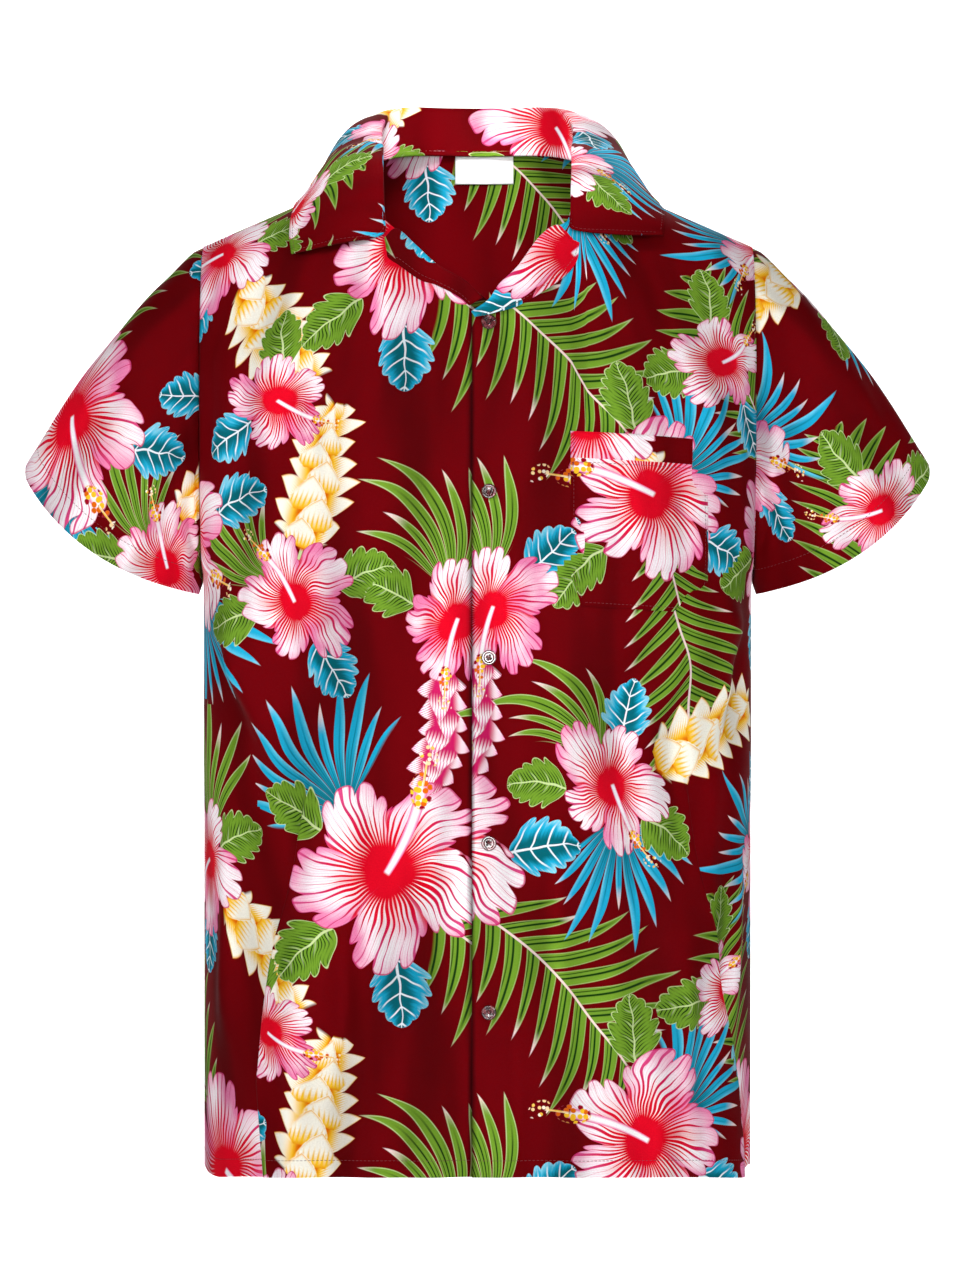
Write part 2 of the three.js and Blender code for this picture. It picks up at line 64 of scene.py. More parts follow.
def throughRows(rows, t):
    # a smooth curve through the rows of a table: on each span a + (c - a) t / 2 + ... , the Catmull-Rom cubic
    rows = np.asarray(rows, float)
    rows = np.concatenate([2 * rows[:1] - rows[1:2], rows, 2 * rows[-1:] - rows[-2:-1]])
    span = np.clip(np.floor(t).astype(int), 0, len(rows) - 4)
    s = (t - span).reshape(t.shape + (1,) * (rows.ndim - 1))
    a, b, c, d = (rows[span + k] for k in range(4))
    return 0.5 * (2 * b + (c - a) * s + (2 * a - 5 * b + 4 * c - d) * s**2 + (3 * b - a - 3 * c + d) * s**3)


def running(points, axis):
    # running length along the rows (axis 1) or down the columns (axis 0) of a grid of points
    steps = np.cumsum(np.linalg.norm(np.diff(points, axis=axis), axis=-1), axis)
    return np.concatenate([np.zeros_like(steps.take([0], axis)), steps], axis)


def sheetGrid(rows, columns):
    # shares from 0 to 1 down and across a grid
    return np.meshgrid(np.linspace(0, 1, rows), np.linspace(0, 1, columns), indexing="ij")


def neighbours(grid):
    # the mean of the four points around each inner point
    return (grid[:-2, 1:-1] + grid[2:, 1:-1] + grid[1:-1, :-2] + grid[1:-1, 2:]) / 4


def gridFaces(at):
    return np.stack([at[:-1, :-1], at[:-1, 1:], at[1:, 1:], at[1:, :-1]], -1).reshape(-1, 4)


def ringFaces(at):
    # the same, where each row closes on itself
    around = np.roll(at, -1, 1)
    return np.stack([at[:-1], at[1:], around[1:], around[:-1]], -1).reshape(-1, 4)


body = {
    "halfWidth": 212.0, "roundness": 2.5, "flare": 1.15,
    "depth": {"front": 146.0, "back": 140.0}, "taper": 17.0, "waist": 330.0,
    "armpit": 449.0, "dome": 540.0, "domePower": 2.5, "shoulderTip": 702.0,
    "neckX": 82.0, "riseFrom": 150.0, "riseCurve": 0.0028, "levelX": 50.0, "slope": 0.423,
    "armhole": {"front": 56.0, "back": 60.0}, "armholePower": 2.2,
    "backNeckRise": 16.0, "gorgeX": 69.0, "gorgeZ": 712.0,
    "underTuck": 2.6, "tuckStart": -34.0, "tuckEnd": -9.0, "hemDrop": 20.0, "hemDropTop": 240.0,
    "corner": 14, "cornerTop": 70, "edgeDepth": 0.15, "seamTuck": 0.5, "calmSide": 16,
}
domeRise = body["shoulderTip"] - body["dome"]
armholeMiddle = (body["armpit"] + body["shoulderTip"]) / 2
armholeReach = (body["shoulderTip"] - body["armpit"]) / 2


def armholeHalf(face, height):
    # half the armhole's depth: depth * (1 - share^2.2)^(1/2.2) around its middle height
    share = np.minimum(np.abs(height - armholeMiddle) / armholeReach, 1.0)
    power = body["armholePower"]
    return body["armhole"][face] * (1 - share**power) ** (1 / power)


def crownHeight(x):
    # the shoulder line: a straight slope with a parabola added near the neck, levelled off across the middle
    level = body["levelX"]
    across = np.maximum(np.abs(x), level)
    sweep = np.maximum(0.0, body["riseFrom"] - across)
    line = body["shoulderTip"] + body["slope"] * (body["halfWidth"] - across) + body["riseCurve"] * sweep**2
    inward = level - np.minimum(np.abs(x), level)
    steep = body["slope"] + 2 * body["riseCurve"] * (body["riseFrom"] - level)
    return line + steep * (inward - inward**2 / (2 * level))


def reducedHeight(x, z):
    # heights above the dome line are stretched or shrunk so that the shoulder line lies level
    above = body["dome"] + (z - body["dome"]) * domeRise / (crownHeight(x) - body["dome"])
    return np.where(z <= body["dome"], z, above)


def restoredHeight(x, reduced):
    above = body["dome"] + (reduced - body["dome"]) * (crownHeight(x) - body["dome"]) / domeRise
    return np.where(reduced <= body["dome"], reduced, above)


def hangingHeight(x, height):
    # the hem hangs lower at the side seams: drop * (1 - (1 - |x / 212|^2.5)^0.4), faded out upwards,
    # and its lower corners are rounded: radius * (1 - (1 - s^2)^0.5)
    power = body["roundness"]
    level = np.clip(1 - (np.abs(x) / body["halfWidth"]) ** power, 0.0, 1.0) ** (1 / power)
    drop = body["hemDrop"] * (1 - level) * np.clip(1 - height / body["hemDropTop"], 0.0, 1.0) ** 2
    s = np.clip((np.abs(x) - body["halfWidth"]) / body["corner"] + 1, 0.0, 0.96)
    return height - drop + body["corner"] * (1 - np.sqrt(1 - s * s)) * smooth(body["cornerTop"], 0, height)


def surfaceY(face, x, z, reduced=None):
    # depth = armhole + (centre - armhole) * (1 - |x / 212|^2.5)^(1 / root); the front faces -Y
    reduced = reducedHeight(x, z) if reduced is None else reduced
    share = np.clip((reduced - body["dome"]) / domeRise, 0.0, 1.0)
    lean = (1 - share ** body["domePower"]) ** (1 / body["domePower"])
    edge = armholeHalf(face, reduced) + body["edgeDepth"]
    centre = (body["depth"][face] - body["taper"] * smooth(body["waist"], neckHeight, z)) * lean
    centre = np.maximum(edge, centre)
    root = mix(body["roundness"], body["flare"], smooth(body["armpit"], body["dome"], reduced))
    bulge = np.clip(1 - np.minimum(1.0, np.abs(x) / body["halfWidth"]) ** body["roundness"], 0.0, 1.0)
    depth = edge + (centre - edge) * bulge ** (1 / root)
    return -depth if face == "front" else depth


def surfaceNormal(face, x, z):
    # the outward normal, from the surface's slopes over a millimetre or two
    step, limit = 1.5, body["halfWidth"]
    out = -1.0 if face == "front" else 1.0
    left, right = np.clip(x - step, -limit, limit), np.clip(x + step, -limit, limit)
    slopeX = (surfaceY(face, right, z) - surfaceY(face, left, z)) / (right - left)
    slopeZ = (surfaceY(face, x, z + step) - surfaceY(face, x, z - step)) / (2 * step)
    return unit(np.stack([-slopeX * out, np.full_like(slopeX, out), -slopeZ * out], -1))


def surfacePoint(face, x, z):
    return np.stack([x, surfaceY(face, x, z), z], -1)


openings = {
    # the edge of the neck opening on each front: x, height
    "left": ((-4, 640), (8.5, 649), (17, 661), (31, 675), (47, 697.5), (60, 706.5), (69, 712)),
    "right": ((-20, 641), (-8.5, 649), (10, 664), (29, 675), (45, 690), (60, 703.5), (69, 712)),
}


def frontTop(opening, across):
    # the opening's edge, then the neck seam 770 - 58 s^1.3, then the shoulder seam, from the buttons outwards
    table = throughRows(openings[opening], np.linspace(0, 6, 121))
    inward = np.clip((body["neckX"] - across) / (body["neckX"] - body["gorgeX"]), 0.0, 1.0)
    seam = neckHeight - (neckHeight - body["gorgeZ"]) * inward**1.3
    top = np.where(across >= body["neckX"], crownHeight(across), seam)
    return np.where(across <= body["gorgeX"], np.interp(across, table[:, 0], table[:, 1]), top)


def backTop(x):
    seam = neckHeight + body["backNeckRise"] * (1 - np.minimum(np.abs(x) / body["neckX"], 1.0) ** 4)
    return np.where(np.abs(x) < body["neckX"], seam, crownHeight(x))


def gridNormals(points):
    # the cross product of the grid's own steps along its columns and its rows
    return unit(np.cross(np.gradient(points, axis=1), np.gradient(points, axis=0)))


def shell(points, thickness, flat, sign=1, lift=0.0):
    # two layers and their rim: outer = point + lift * normal, inner = outer - thickness * normal
    normals = gridNormals(points) * sign
    thickness = np.broadcast_to(thickness, points.shape[:2])[..., None]
    outer = points + normals * lift
    inner = outer - normals * thickness
    at = np.arange(points.size // 3).reshape(points.shape[:2])
    quads = gridFaces(at)
    edge = np.concatenate([at[0, :-1], at[:-1, -1], at[-1, :0:-1], at[:0:-1, 0]])
    following = np.roll(edge, -1)
    rim = np.stack([following, edge, edge + at.size, following + at.size], 1)
    faces = np.concatenate([quads, quads[:, ::-1] + at.size, rim])
    if sign < 0:
        faces = faces[:, ::-1]
    return {"points": np.concatenate([outer.reshape(-1, 3), inner.reshape(-1, 3)]), "faces": faces,
            "flat": flat.reshape(-1, 2)[faces % at.size]}


def joinedShells(shells):
    starts = np.cumsum([0] + [len(one["points"]) for one in shells])
    return {"points": np.concatenate([one["points"] for one in shells]),
            "faces": np.concatenate([one["faces"] + start for one, start in zip(shells, starts)]),
            "flat": np.concatenate([one["flat"] for one in shells])}


def newMesh(name, points, faces, material):
    mesh = bpy.data.meshes.new(name)
    mesh.vertices.add(len(points))
    mesh.vertices.foreach_set("co", points.ravel())
    mesh.loops.add(faces.size)
    mesh.loops.foreach_set("vertex_index", faces.ravel().astype(np.int32))
    mesh.polygons.add(len(faces))
    mesh.polygons.foreach_set("loop_start", np.arange(len(faces), dtype=np.int32) * faces.shape[1])
    mesh.update(calc_edges=True)
    mesh.validate()
    mesh.shade_smooth()
    mesh.materials.append(material)
    return mesh


def newObject(name, data):
    made = bpy.data.objects.new(name, data)
    bpy.context.scene.collection.objects.link(made)
    return made


def makePiece(name, made, material, printAt=None):
    mesh = newMesh(name, placed(made["points"]), made["faces"], material)
    if "flat" in made:
        layer = mesh.uv_layers.new(name="cloth")
        layer.data.foreach_set("uv", (made["flat"] / 1000).astype(np.float32).ravel())
    if printAt is not None:
        layPrint(mesh, made.get("print", made["flat"]) / 1000, *printAt)
    piece = newObject(name, mesh)
    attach(piece, "root")
    return piece


def flatSize(flat):
    # the cut's width, length and area in metres, from the flat coordinates of one layer's grid
    across, up = flat[:-1, 1:] - flat[:-1, :-1], flat[1:, :-1] - flat[:-1, :-1]
    area = np.abs(across[..., 0] * up[..., 1] - across[..., 1] * up[..., 0]).sum() / 1e6
    width, length = (flat.reshape(-1, 2).max(0) - flat.reshape(-1, 2).min(0)) / 1000
    return (float(width), float(length)), float(area)


def creaseHeight(table, x, z):
    # each crease is height * exp(-(off / width)^2) about a bowed line, uneven along it and faded at both ends
    total = np.zeros(np.broadcast(x, z).shape)
    for x0, z0, x1, z1, height, width, bow in table:
        dx, dz = x1 - x0, z1 - z0
        length = math.hypot(dx, dz)
        along = ((x - x0) * dx + (z - z0) * dz) / length**2
        inside = np.clip(along, 0.0, 1.0)
        off = ((x - x0) * dz - (z - z0) * dx) / length - bow * np.sin(math.pi * inside)
        uneven = 1 + 0.28 * np.sin(inside * 8.0 + x0 * 0.21)
        spread = width * (1 + 0.35 * np.sin(inside * 5.0 + z0 * 0.07))
        ends = smooth(0.0, 0.3, along) * smooth(1.0, 0.65, along)
        total += height * uneven * np.exp(-((off / spread) ** 2)) * ends
    return total


def slackHeight(x, z, luck):
    # low swells of hanging cloth: a few long slanted waves added together
    waves = ((1.5, 97.0, 340.0), (0.9, -61.0, 230.0), (0.5, 43.0, -151.0))
    return sum(height * np.sin(x / across * 6.283 + z / up * 6.283 + luck * (k + 1.7))
               for k, (height, across, up) in enumerate(waves))


allowance = {"width": 8.0, "steps": 4, "thickness": 0.5}


def seamAllowance(edge, inward, flat, outward):
    # a narrow turned-in strip behind a seam: edge + inward * d for d up to the allowance's width
    d = np.linspace(0.35, allowance["width"], allowance["steps"])[:, None, None]
    points = edge[None] + unit(inward)[None] * d
    flat = flat[None] + np.concatenate([d * outward, d * 0], 2)
    return shell(points, allowance["thickness"], np.broadcast_to(flat, points.shape[:2] + (2,)))


cloth = {"thickness": 0.9, "hem": 12.5, "hemExtra": 0.8, "facing": 48.0, "facingExtra": 0.7}

sideFolds = {
    # height, distance of the fold's edge from the middle
    "left": {"line": ((0, 203), (65, 199), (125, 188), (203, 171), (293, 158), (330, 152)), "hidden": 52.0},
    "right": {"line": ((0, 161), (69, 168), (138, 158), (203, 144), (285, 126), (330, 120)), "hidden": 56.0},
}
foldShape = {"margin": 6.0, "turn": 3.0, "top": 332.0, "columns": 46}

creases = {
    # on each panel: x, height and x, height of the two ends, how high it stands, half width, bow
    "left": (
        (176, 600, 180, 492, 7.6, 14, 4), (184, 436, 176, 322, 9.5, 14, -5),
        (160, 420, 150, 250, -5.9, 12, 5), (198, 300, 196, 40, 6.2, 9, -3), (30, 190, 34, 4, 6.8, 12, 3),
        (140, 170, 146, 60, 6.2, 12, -4), (196, 446, 128, 318, 9.2, 13, 8),
        (204, 425, 172, 250, -8.1, 11, -6), (150, 415, 96, 300, -5.9, 16, 9), (58, 300, 74, 24, 7.0, 17, 5),
        (112, 330, 126, 40, -7.6, 15, -7), (58, 480, 66, 250, -4.9, 18, 4), (150, 200, 158, 10, 7.0, 12, 3),
        (178, 640, 196, 520, 7.0, 12, -6), (120, 735, 168, 600, -5.4, 17, 8),
        (84, 640, 62, 540, 4.9, 18, 5), (186, 330, 176, 120, 5.9, 10, 4),
    ),
    "right": (
        (158, 650, 150, 552, 7.3, 14, -4), (146, 345, 136, 226, 7.6, 13, 5),
        (150, 215, 144, 70, 6.8, 13, -5), (178, 470, 182, 340, 6.8, 12, 4),
        (56, 500, 40, 380, -4.9, 16, -5), (70, 170, 64, 20, 5.1, 15, 4), (198, 444, 140, 300, 8.6, 13, -8),
        (206, 420, 160, 236, -7.6, 11, 6), (160, 430, 104, 330, -6.5, 15, -7),
        (46, 330, 58, 40, 6.5, 18, -6), (98, 300, 112, 20, -7.6, 14, 6), (30, 520, 40, 360, 4.9, 22, 5),
        (134, 180, 128, 12, 7.0, 12, -3), (182, 636, 198, 518, 7.0, 12, 5),
        (128, 730, 172, 590, -5.9, 16, -8), (70, 620, 92, 500, 5.1, 17, -6), (16, 240, 10, 60, -4.1, 15, 2),
        (186, 300, 190, 60, 6.5, 9, -3),
    ),
    "back": (
        (196, 440, 110, 290, 9.2, 16, 9), (-194, 446, -118, 300, 8.6, 15, -9),
        (150, 690, 120, 520, -7.0, 18, 8), (-158, 686, -112, 540, -6.5, 17, -9),
        (60, 360, 74, 30, 7.6, 20, 7), (-44, 340, -66, 20, -7.0, 18, -6), (10, 600, -6, 380, 5.4, 26, 6),
        (-120, 300, -134, 20, 7.6, 16, -5), (128, 280, 140, 16, -7.6, 15, 6),
        (90, 560, 40, 430, 5.1, 20, -8), (-80, 520, -30, 410, -5.1, 20, 7), (196, 300, 188, 40, 6.5, 12, 3),
        (-196, 310, -190, 50, -5.9, 12, -3), (0, 250, 12, 24, -5.4, 19, 5),
    ),
}


def arcOfRows(face, side, start, heights):
    # running length of each level section from the middle, at closely spaced distances from the middle
    turns = np.linspace(math.asin((60 / body["halfWidth"]) ** 1.25), math.pi / 2, 150)
    across = np.concatenate([np.linspace(start, 60, 40)[:-1], body["halfWidth"] * np.sin(turns) ** 0.8])
    depth = surfaceY(face, side * across[None], heights[:, None])
    steps = np.hypot(np.diff(across)[None], np.diff(depth, axis=1))
    arc = np.concatenate([np.zeros((len(heights), 1)), np.cumsum(steps, axis=1)], 1)
    middle = np.stack([np.interp(0.0, across, row) for row in arc])
    return across, arc - middle[:, None]


def foldedBlock(lineArc, hidden):
    # cloth turns under, runs back and turns out again: heading = A (S(c - c1) - S(c - c2)), and
    # across and sink are the running sums of its cosine and sine
    margin, turn, fine = foldShape["margin"], foldShape["turn"], 10
    count = foldShape["columns"] * fine
    length = 2 * margin + hidden[:, None]
    c = length * np.linspace(0.0, 1.0, count + 1)
    strength = math.pi * smooth(0.0, 16.0, hidden)[:, None]
    second = margin + hidden[:, None] / 2
    heading = strength * (smooth(margin - turn, margin + turn, c) - smooth(second - turn, second + turn, c))
    step = length / count
    across = np.concatenate([c[:, :1] * 0, np.cumsum(np.cos(heading[:, 1:]) * step, 1)], 1)
    sink = np.concatenate([c[:, :1] * 0, np.cumsum(np.sin(heading[:, 1:]) * step, 1)], 1)
    return (lineArc[:, None] - margin + across)[:, ::fine], sink[:, ::fine], c[:, ::fine]


def bodyGrid(face, side, x, u, heights, top, rows, anchor):
    # level rows up to the dome line; above it each column keeps its distance from the middle and runs up
    # to its own top by equal steps of angle. The flat width is halfway between the rows' and the arc's.
    low = len(heights)
    z = hangingHeight(x, heights[:, None])
    reach = np.clip((reducedHeight(x[-1], top) - body["dome"]) / domeRise, 0, 1)
    angle = np.arcsin(reach**1.25)[None] * (np.arange(1, rows + 1) / rows)[:, None]
    reduced = body["dome"] + domeRise * np.sin(angle) ** 0.8
    xHigh = np.broadcast_to(x[-1], reduced.shape)
    zHigh = restoredHeight(xHigh, reduced)
    y = np.concatenate([surfaceY(face, side * x, z), surfaceY(face, side * xHigh, zHigh, reduced)])
    points = np.stack([side * np.concatenate([x, xHigh]), y, np.concatenate([z, zHigh])], -1)
    arc = running(points[low:], 1)
    level = np.concatenate([u, 0.5 * u[-1:] + 0.5 * (arc - arc[:, [anchor]] + u[-1, anchor])])
    up = np.concatenate([z * 0 + heights[:, None], body["dome"] + running(points[low - 1:], 0)[1:]])
    return points, np.stack([side * level, up], -1)


def seamTuck(x, z):
    # half a millimetre drawn in along the side seam
    beside = smooth(4.0, 0.0, body["halfWidth"] - np.abs(x))
    return body["seamTuck"] * beside * smooth(body["armpit"], body["armpit"] - 30, z)


def calmSide(x):
    # no creases at the side seams, so that the panels meet
    return smooth(body["halfWidth"], body["halfWidth"] - body["calmSide"], np.abs(x))


def tuckUnder(points):
    # the right front sinks behind the left one's edge
    points[..., 1] += body["underTuck"] * smooth(body["tuckStart"], body["tuckEnd"], points[..., 0])


def hemExtra(height, hem):
    return smooth(hem + 1.5, hem, height) * cloth["hemExtra"]


frontGrid = {
    "first": 62, "last": {"left": 34, "right": 52}, "high": 58,
    "firstRows": (0, 1.2, 4), "from": 8, "step": 4.0,
}


def frontCloth(name):
    side = 1 if name == "left" else -1
    fold = sideFolds[name]
    start = openings[name][0][0]
    rows = np.arange(frontGrid["from"], body["dome"] + 1, frontGrid["step"])
    heights = np.concatenate([frontGrid["firstRows"], rows])
    across, arc = arcOfRows("front", side, start, heights)
    line = np.interp(heights, *np.array(fold["line"], float).T)
    lineArc = np.stack([np.interp(x, across, row) for x, row in zip(line, arc)])
    hidden = fold["hidden"] * np.clip(1 - heights / foldShape["top"], 0, 1) ** 1.15
    first = mix(arc[:, :1], lineArc[:, None] - foldShape["margin"], np.linspace(0, 1, frontGrid["first"]))
    middle, sink, c = foldedBlock(lineArc, hidden)
    t = np.linspace(0, 1, frontGrid["last"][name])
    last = mix(middle[:, -1:], arc[:, -1:], t)
    at = np.concatenate([first, middle[:, 1:], last[:, 1:]], 1)
    turned, beyond = first[:, -1:] + c[:, 1:], first[:, -1:] + c[:, -1:] + last[:, 1:] - last[:, :1]
    u = np.concatenate([first, turned, beyond], 1)
    down = np.concatenate([first * 0, sink[:, 1:], sink[:, -1:] * (1 - smooth(0.15, 1.0, t))[None, 1:]], 1)
    x = np.stack([np.interp(row, arcRow, across) for row, arcRow in zip(at, arc)])
    points, flat = bodyGrid("front", side, x, u, heights, frontTop(name, x[-1]), frontGrid["high"], 0)
    low = len(heights)
    normals = gridNormals(points) * side
    normals[:low] = surfaceNormal("front", points[:low, :, 0], points[:low, :, 2])

    px, pz = points[..., 0] * side, points[..., 2]
    calm = calmSide(px) * smooth(-8, 40, px - start) * smooth(0, 50, frontTop(name, px) - pz)
    lift = (creaseHeight(creases[name], px, pz) + slackHeight(px, pz, side)) * calm
    lift[:low] -= down
    points = points + normals * (lift - seamTuck(px, pz))[..., None]
    if name == "right":
        tuckUnder(points)
    facing = smooth(cloth["facing"] + 2, cloth["facing"], px - start) * cloth["facingExtra"]
    extra = np.maximum(hemExtra(pz - pz[:1], cloth["hem"]), facing)
    main = shell(points, cloth["thickness"] + extra, flat, side)
    return points, flat, joinedShells([main] + seamStrips(side, points, flat))


def seamStrips(side, points, flat, column=-1):
    # side seam and armhole along one outer column, and the shoulder along the top row beyond the neck point
    edge = points[:, column]
    across, _, up = edge.T
    toAxis = unit(np.stack([across * 0, -edge[:, 1], (armholeMiddle - up) * 0.6], -1) + (0, 1e-6, 0))
    turned = smooth(body["armpit"] - 6, body["armpit"] + 12, up)[:, None]
    inward = mix(np.array([-side, 0.0, 0.0]), toAxis, turned)
    beyond = points[-1, :, 0] * side >= body["neckX"] - 1
    shoulder = points[-1][beyond]
    return [seamAllowance(edge, inward, flat[:, column], side),
            seamAllowance(shoulder, np.broadcast_to((0.0, 0.0, -1.0), shoulder.shape), flat[-1][beyond], 0.0)]


backGrid = {"half": 96, "high": 56, "firstRows": (0, 1.2, 4), "from": 8.5, "step": 4.5}


def backCloth():
    rows = np.arange(backGrid["from"], body["dome"] + 1, backGrid["step"])
    heights = np.concatenate([backGrid["firstRows"], rows, [body["dome"]]])
    across, arc = arcOfRows("back", 1, 0.0, heights)
    reach = arc[:, -1:] * np.linspace(0, 1, backGrid["half"])
    right = np.stack([np.interp(row, arcRow, across) for row, arcRow in zip(reach, arc)])
    x = np.concatenate([-right[:, :0:-1], right], 1)
    u = np.concatenate([-reach[:, :0:-1], reach], 1)
    points, flat = bodyGrid("back", 1, x, u, heights, backTop(x[-1]), backGrid["high"], x.shape[1] // 2)
    px, pz = points[..., 0], points[..., 2]
    calm = calmSide(px) * smooth(0, 60, backTop(px) - pz)
    lift = (creaseHeight(creases["back"], px, pz) + slackHeight(px, pz, 5.0)) * calm
    points = points - gridNormals(points) * (lift - seamTuck(px, pz))[..., None]
    main = shell(points, cloth["thickness"] + hemExtra(pz - pz[:1], cloth["hem"]), flat, -1)
    return points, flat, joinedShells([main] + seamStrips(1, points, flat) + seamStrips(-1, points, flat, 0))


sleeve = {
    "rimOuter": (353.0, 529.0), "rimInner": (217.5, 433.0), "rimHalfDepth": 50.0, "rimBow": 19.0,
    "tipFrom": 0.86, "tipRound": 6.0, "rows": 52, "columns": 150,
    "crownOut": 9.6, "crownUp": 7.2, "hem": 20.0, "rootSink": 0.9, "rootSwell": 1.6,
    # along the arm from 0 to 1 and round from -1 to 1 (0 on top, + in front): two ends, height, width, bow
    "creases": (
        (0.02, 0.62, 0.78, 0.36, 8.2, 0.075, 0.03), (0.02, 0.72, 0.62, 0.60, -6.2, 0.06, -0.02),
        (0.05, 0.16, 0.80, 0.24, 6.2, 0.07, -0.03), (0.10, 0.38, 0.95, 0.50, -5.3, 0.07, 0.02),
        (0.02, -0.62, 0.74, -0.40, 7.7, 0.075, -0.03), (0.06, -0.20, 0.86, -0.30, 5.8, 0.07, 0.03),
        (0.20, -0.02, 1.0, 0.03, -4.3, 0.06, 0.01), (0.10, -0.74, 0.66, -0.62, -5.8, 0.06, 0.02),
    ),
}


def sleeveCloth(side):
    # the armhole's ring carried straight out to the rim's ring, with sin(pi t) of fullness over the top
    along = np.linspace(0, 1, sleeve["rows"])[:, None]
    turn = np.linspace(-math.pi + 0.002, math.pi - 0.002, sleeve["columns"])[None]
    high, forward = np.cos(turn), np.sin(turn)
    power = 2 / body["armholePower"]
    depth = np.where(forward > 0, body["armhole"]["front"], body["armhole"]["back"])
    start = np.stack([0 * high + body["halfWidth"] + 0.3,
                      -depth * np.sign(forward) * np.abs(forward) ** power,
                      armholeMiddle + armholeReach * np.sign(high) * np.abs(high) ** power], -1)
    outer, inner = np.array(sleeve["rimOuter"]), np.array(sleeve["rimInner"])
    chord, centre = (outer - inner) / 2, (outer + inner) / 2
    axis = np.array([chord[1], -chord[0]]) / np.hypot(*chord)
    # the rim bows out by 19 sin^2; its tip on top is drawn back by 6 ((cos - 0.86) / 0.14)^2, which rounds it
    tip = np.maximum(0, (high - sleeve["tipFrom"]) / (1 - sleeve["tipFrom"])) ** 2
    bow = sleeve["rimBow"] * forward**2 - sleeve["tipRound"] * tip
    end = np.stack([centre[0] + chord[0] * high + axis[0] * bow, -sleeve["rimHalfDepth"] * forward,
                    centre[1] + chord[1] * high + axis[1] * bow], -1)
    points = mix(start, end, along[..., None])
    full = np.sin(math.pi * along) * np.maximum(0, high)
    points[..., 0] += sleeve["crownOut"] * full
    points[..., 2] += sleeve["crownUp"] * full
    normals = gridNormals(points)
    around = np.broadcast_to(turn / math.pi, points.shape[:2])
    t = np.broadcast_to(along, points.shape[:2])
    lift = creaseHeight(sleeve["creases"], t, around) * smooth(0, 0.16, t) * smooth(1.0, 0.9, np.abs(around))
    length = running(points, 0)
    lift += sleeve["rootSwell"] * smooth(1, 9, length) * smooth(40, 12, length)
    lift -= sleeve["rootSink"] * smooth(5, 0, length)
    points = points + normals * lift[..., None]
    rounded = running(points, 1)
    top = sleeve["columns"] // 2
    u = 0.5 * (rounded - rounded[:, [top]]) + 0.5 * (rounded[-1] - rounded[-1, top])[None]
    fromRim = length[-1:] - length
    flat = np.stack([u, fromRim], -1)
    points[..., 0] *= side
    main = shell(points, cloth["thickness"] + hemExtra(fromRim, sleeve["hem"]), flat, side)
    inward = unit(np.array([side * body["halfWidth"], 0.0, armholeMiddle]) - points[0])
    inward[:, 0] = 0.0
    seams = [seamAllowance(points[0], inward, flat[0], 0.0)]
    for column, way in ((0, 1.0), (-1, -1.0)):
        up = np.broadcast_to((0.0, 0.0, 1.0), points[:, column].shape)
        seams.append(seamAllowance(points[:, column], up, flat[:, column], way))
    return points, flat, joinedShells([main] + seams)


collar = {
    # share of the neck seam, then roll, leaf and edge points: x, y, height
    "stations": (
        (0.00, 0, 92, 822, 0, 108, 796, 0, 112, 760), (0.15, 26, 90, 822, 33, 106, 797, 35, 109, 759),
        (0.30, 51, 80, 821, 76, 92, 804, 77, 97, 756), (0.43, 67, 59, 815, 99, 70, 801, 105, 76, 751),
        (0.55, 74, 32, 802, 110, 41, 789, 125, 43, 744), (0.66, 74, 4, 787, 113, 6, 774, 134, 4, 739),
        (0.70, 73.5, -14, 782, 113.5, -14, 768, 137, -14, 736),
        (0.76, 72, -36, 775, 112, -37, 757, 139.5, -36, 729),
        (0.80, 71.5, -50, 768, 111, -52, 748, 141, -50, 723),
        (0.85, 71, -65, 758, 110, -68, 736, 142, -64, 715),
        (0.93, 70.5, -88, 738, 107, -90, 715, 142, -78, 701),
        (1.00, 70, -105, 713, 105, -103, 694, 140, -87, 688),
    ),
    "notch": (72.0, -108.0, 700.0), "leftTipRise": 14.0, "crestLift": 4.0, "crestPlace": 0.35,
    "clear": 2.6, "thickness": 1.3, "shoulderShare": 0.66, "belowSeam": 5.0, "stitchInset": 3.0,
    "columns": 84, "standRows": 16, "fallRows": 44, "levelRow": 20,
}


def neckSeam(share):
    back = np.minimum(share / collar["shoulderShare"], 1.0)
    xBack = body["neckX"] * np.sin(back * math.pi / 2)
    onBack = surfacePoint("back", xBack, backTop(xBack) - 0.01)
    t = np.clip((share - collar["shoulderShare"]) / (1 - collar["shoulderShare"]), 0, 1)
    xFront = mix(body["neckX"], body["gorgeX"], t**1.4)
    onFront = surfacePoint("front", xFront, frontTop("left", xFront) - 0.01)
    return np.where((share <= collar["shoulderShare"])[..., None], onBack, onFront)


def upperBody():
    # points and normals spread over the upper body, to hold the collar off it
    found = []
    for face in ("front", "back"):
        x, t = np.meshgrid(np.linspace(40, body["halfWidth"] - 2, 90), np.linspace(0, 1, 90))
        top = frontTop("left", x) if face == "front" else backTop(x)
        z = mix(620.0, top - 0.5, t)
        normal = surfaceNormal(face, x, np.minimum(z, top - 2))
        found.append((surfacePoint(face, x, z).reshape(-1, 3), normal.reshape(-1, 3)))
    return [np.concatenate(both) for both in zip(*found)]


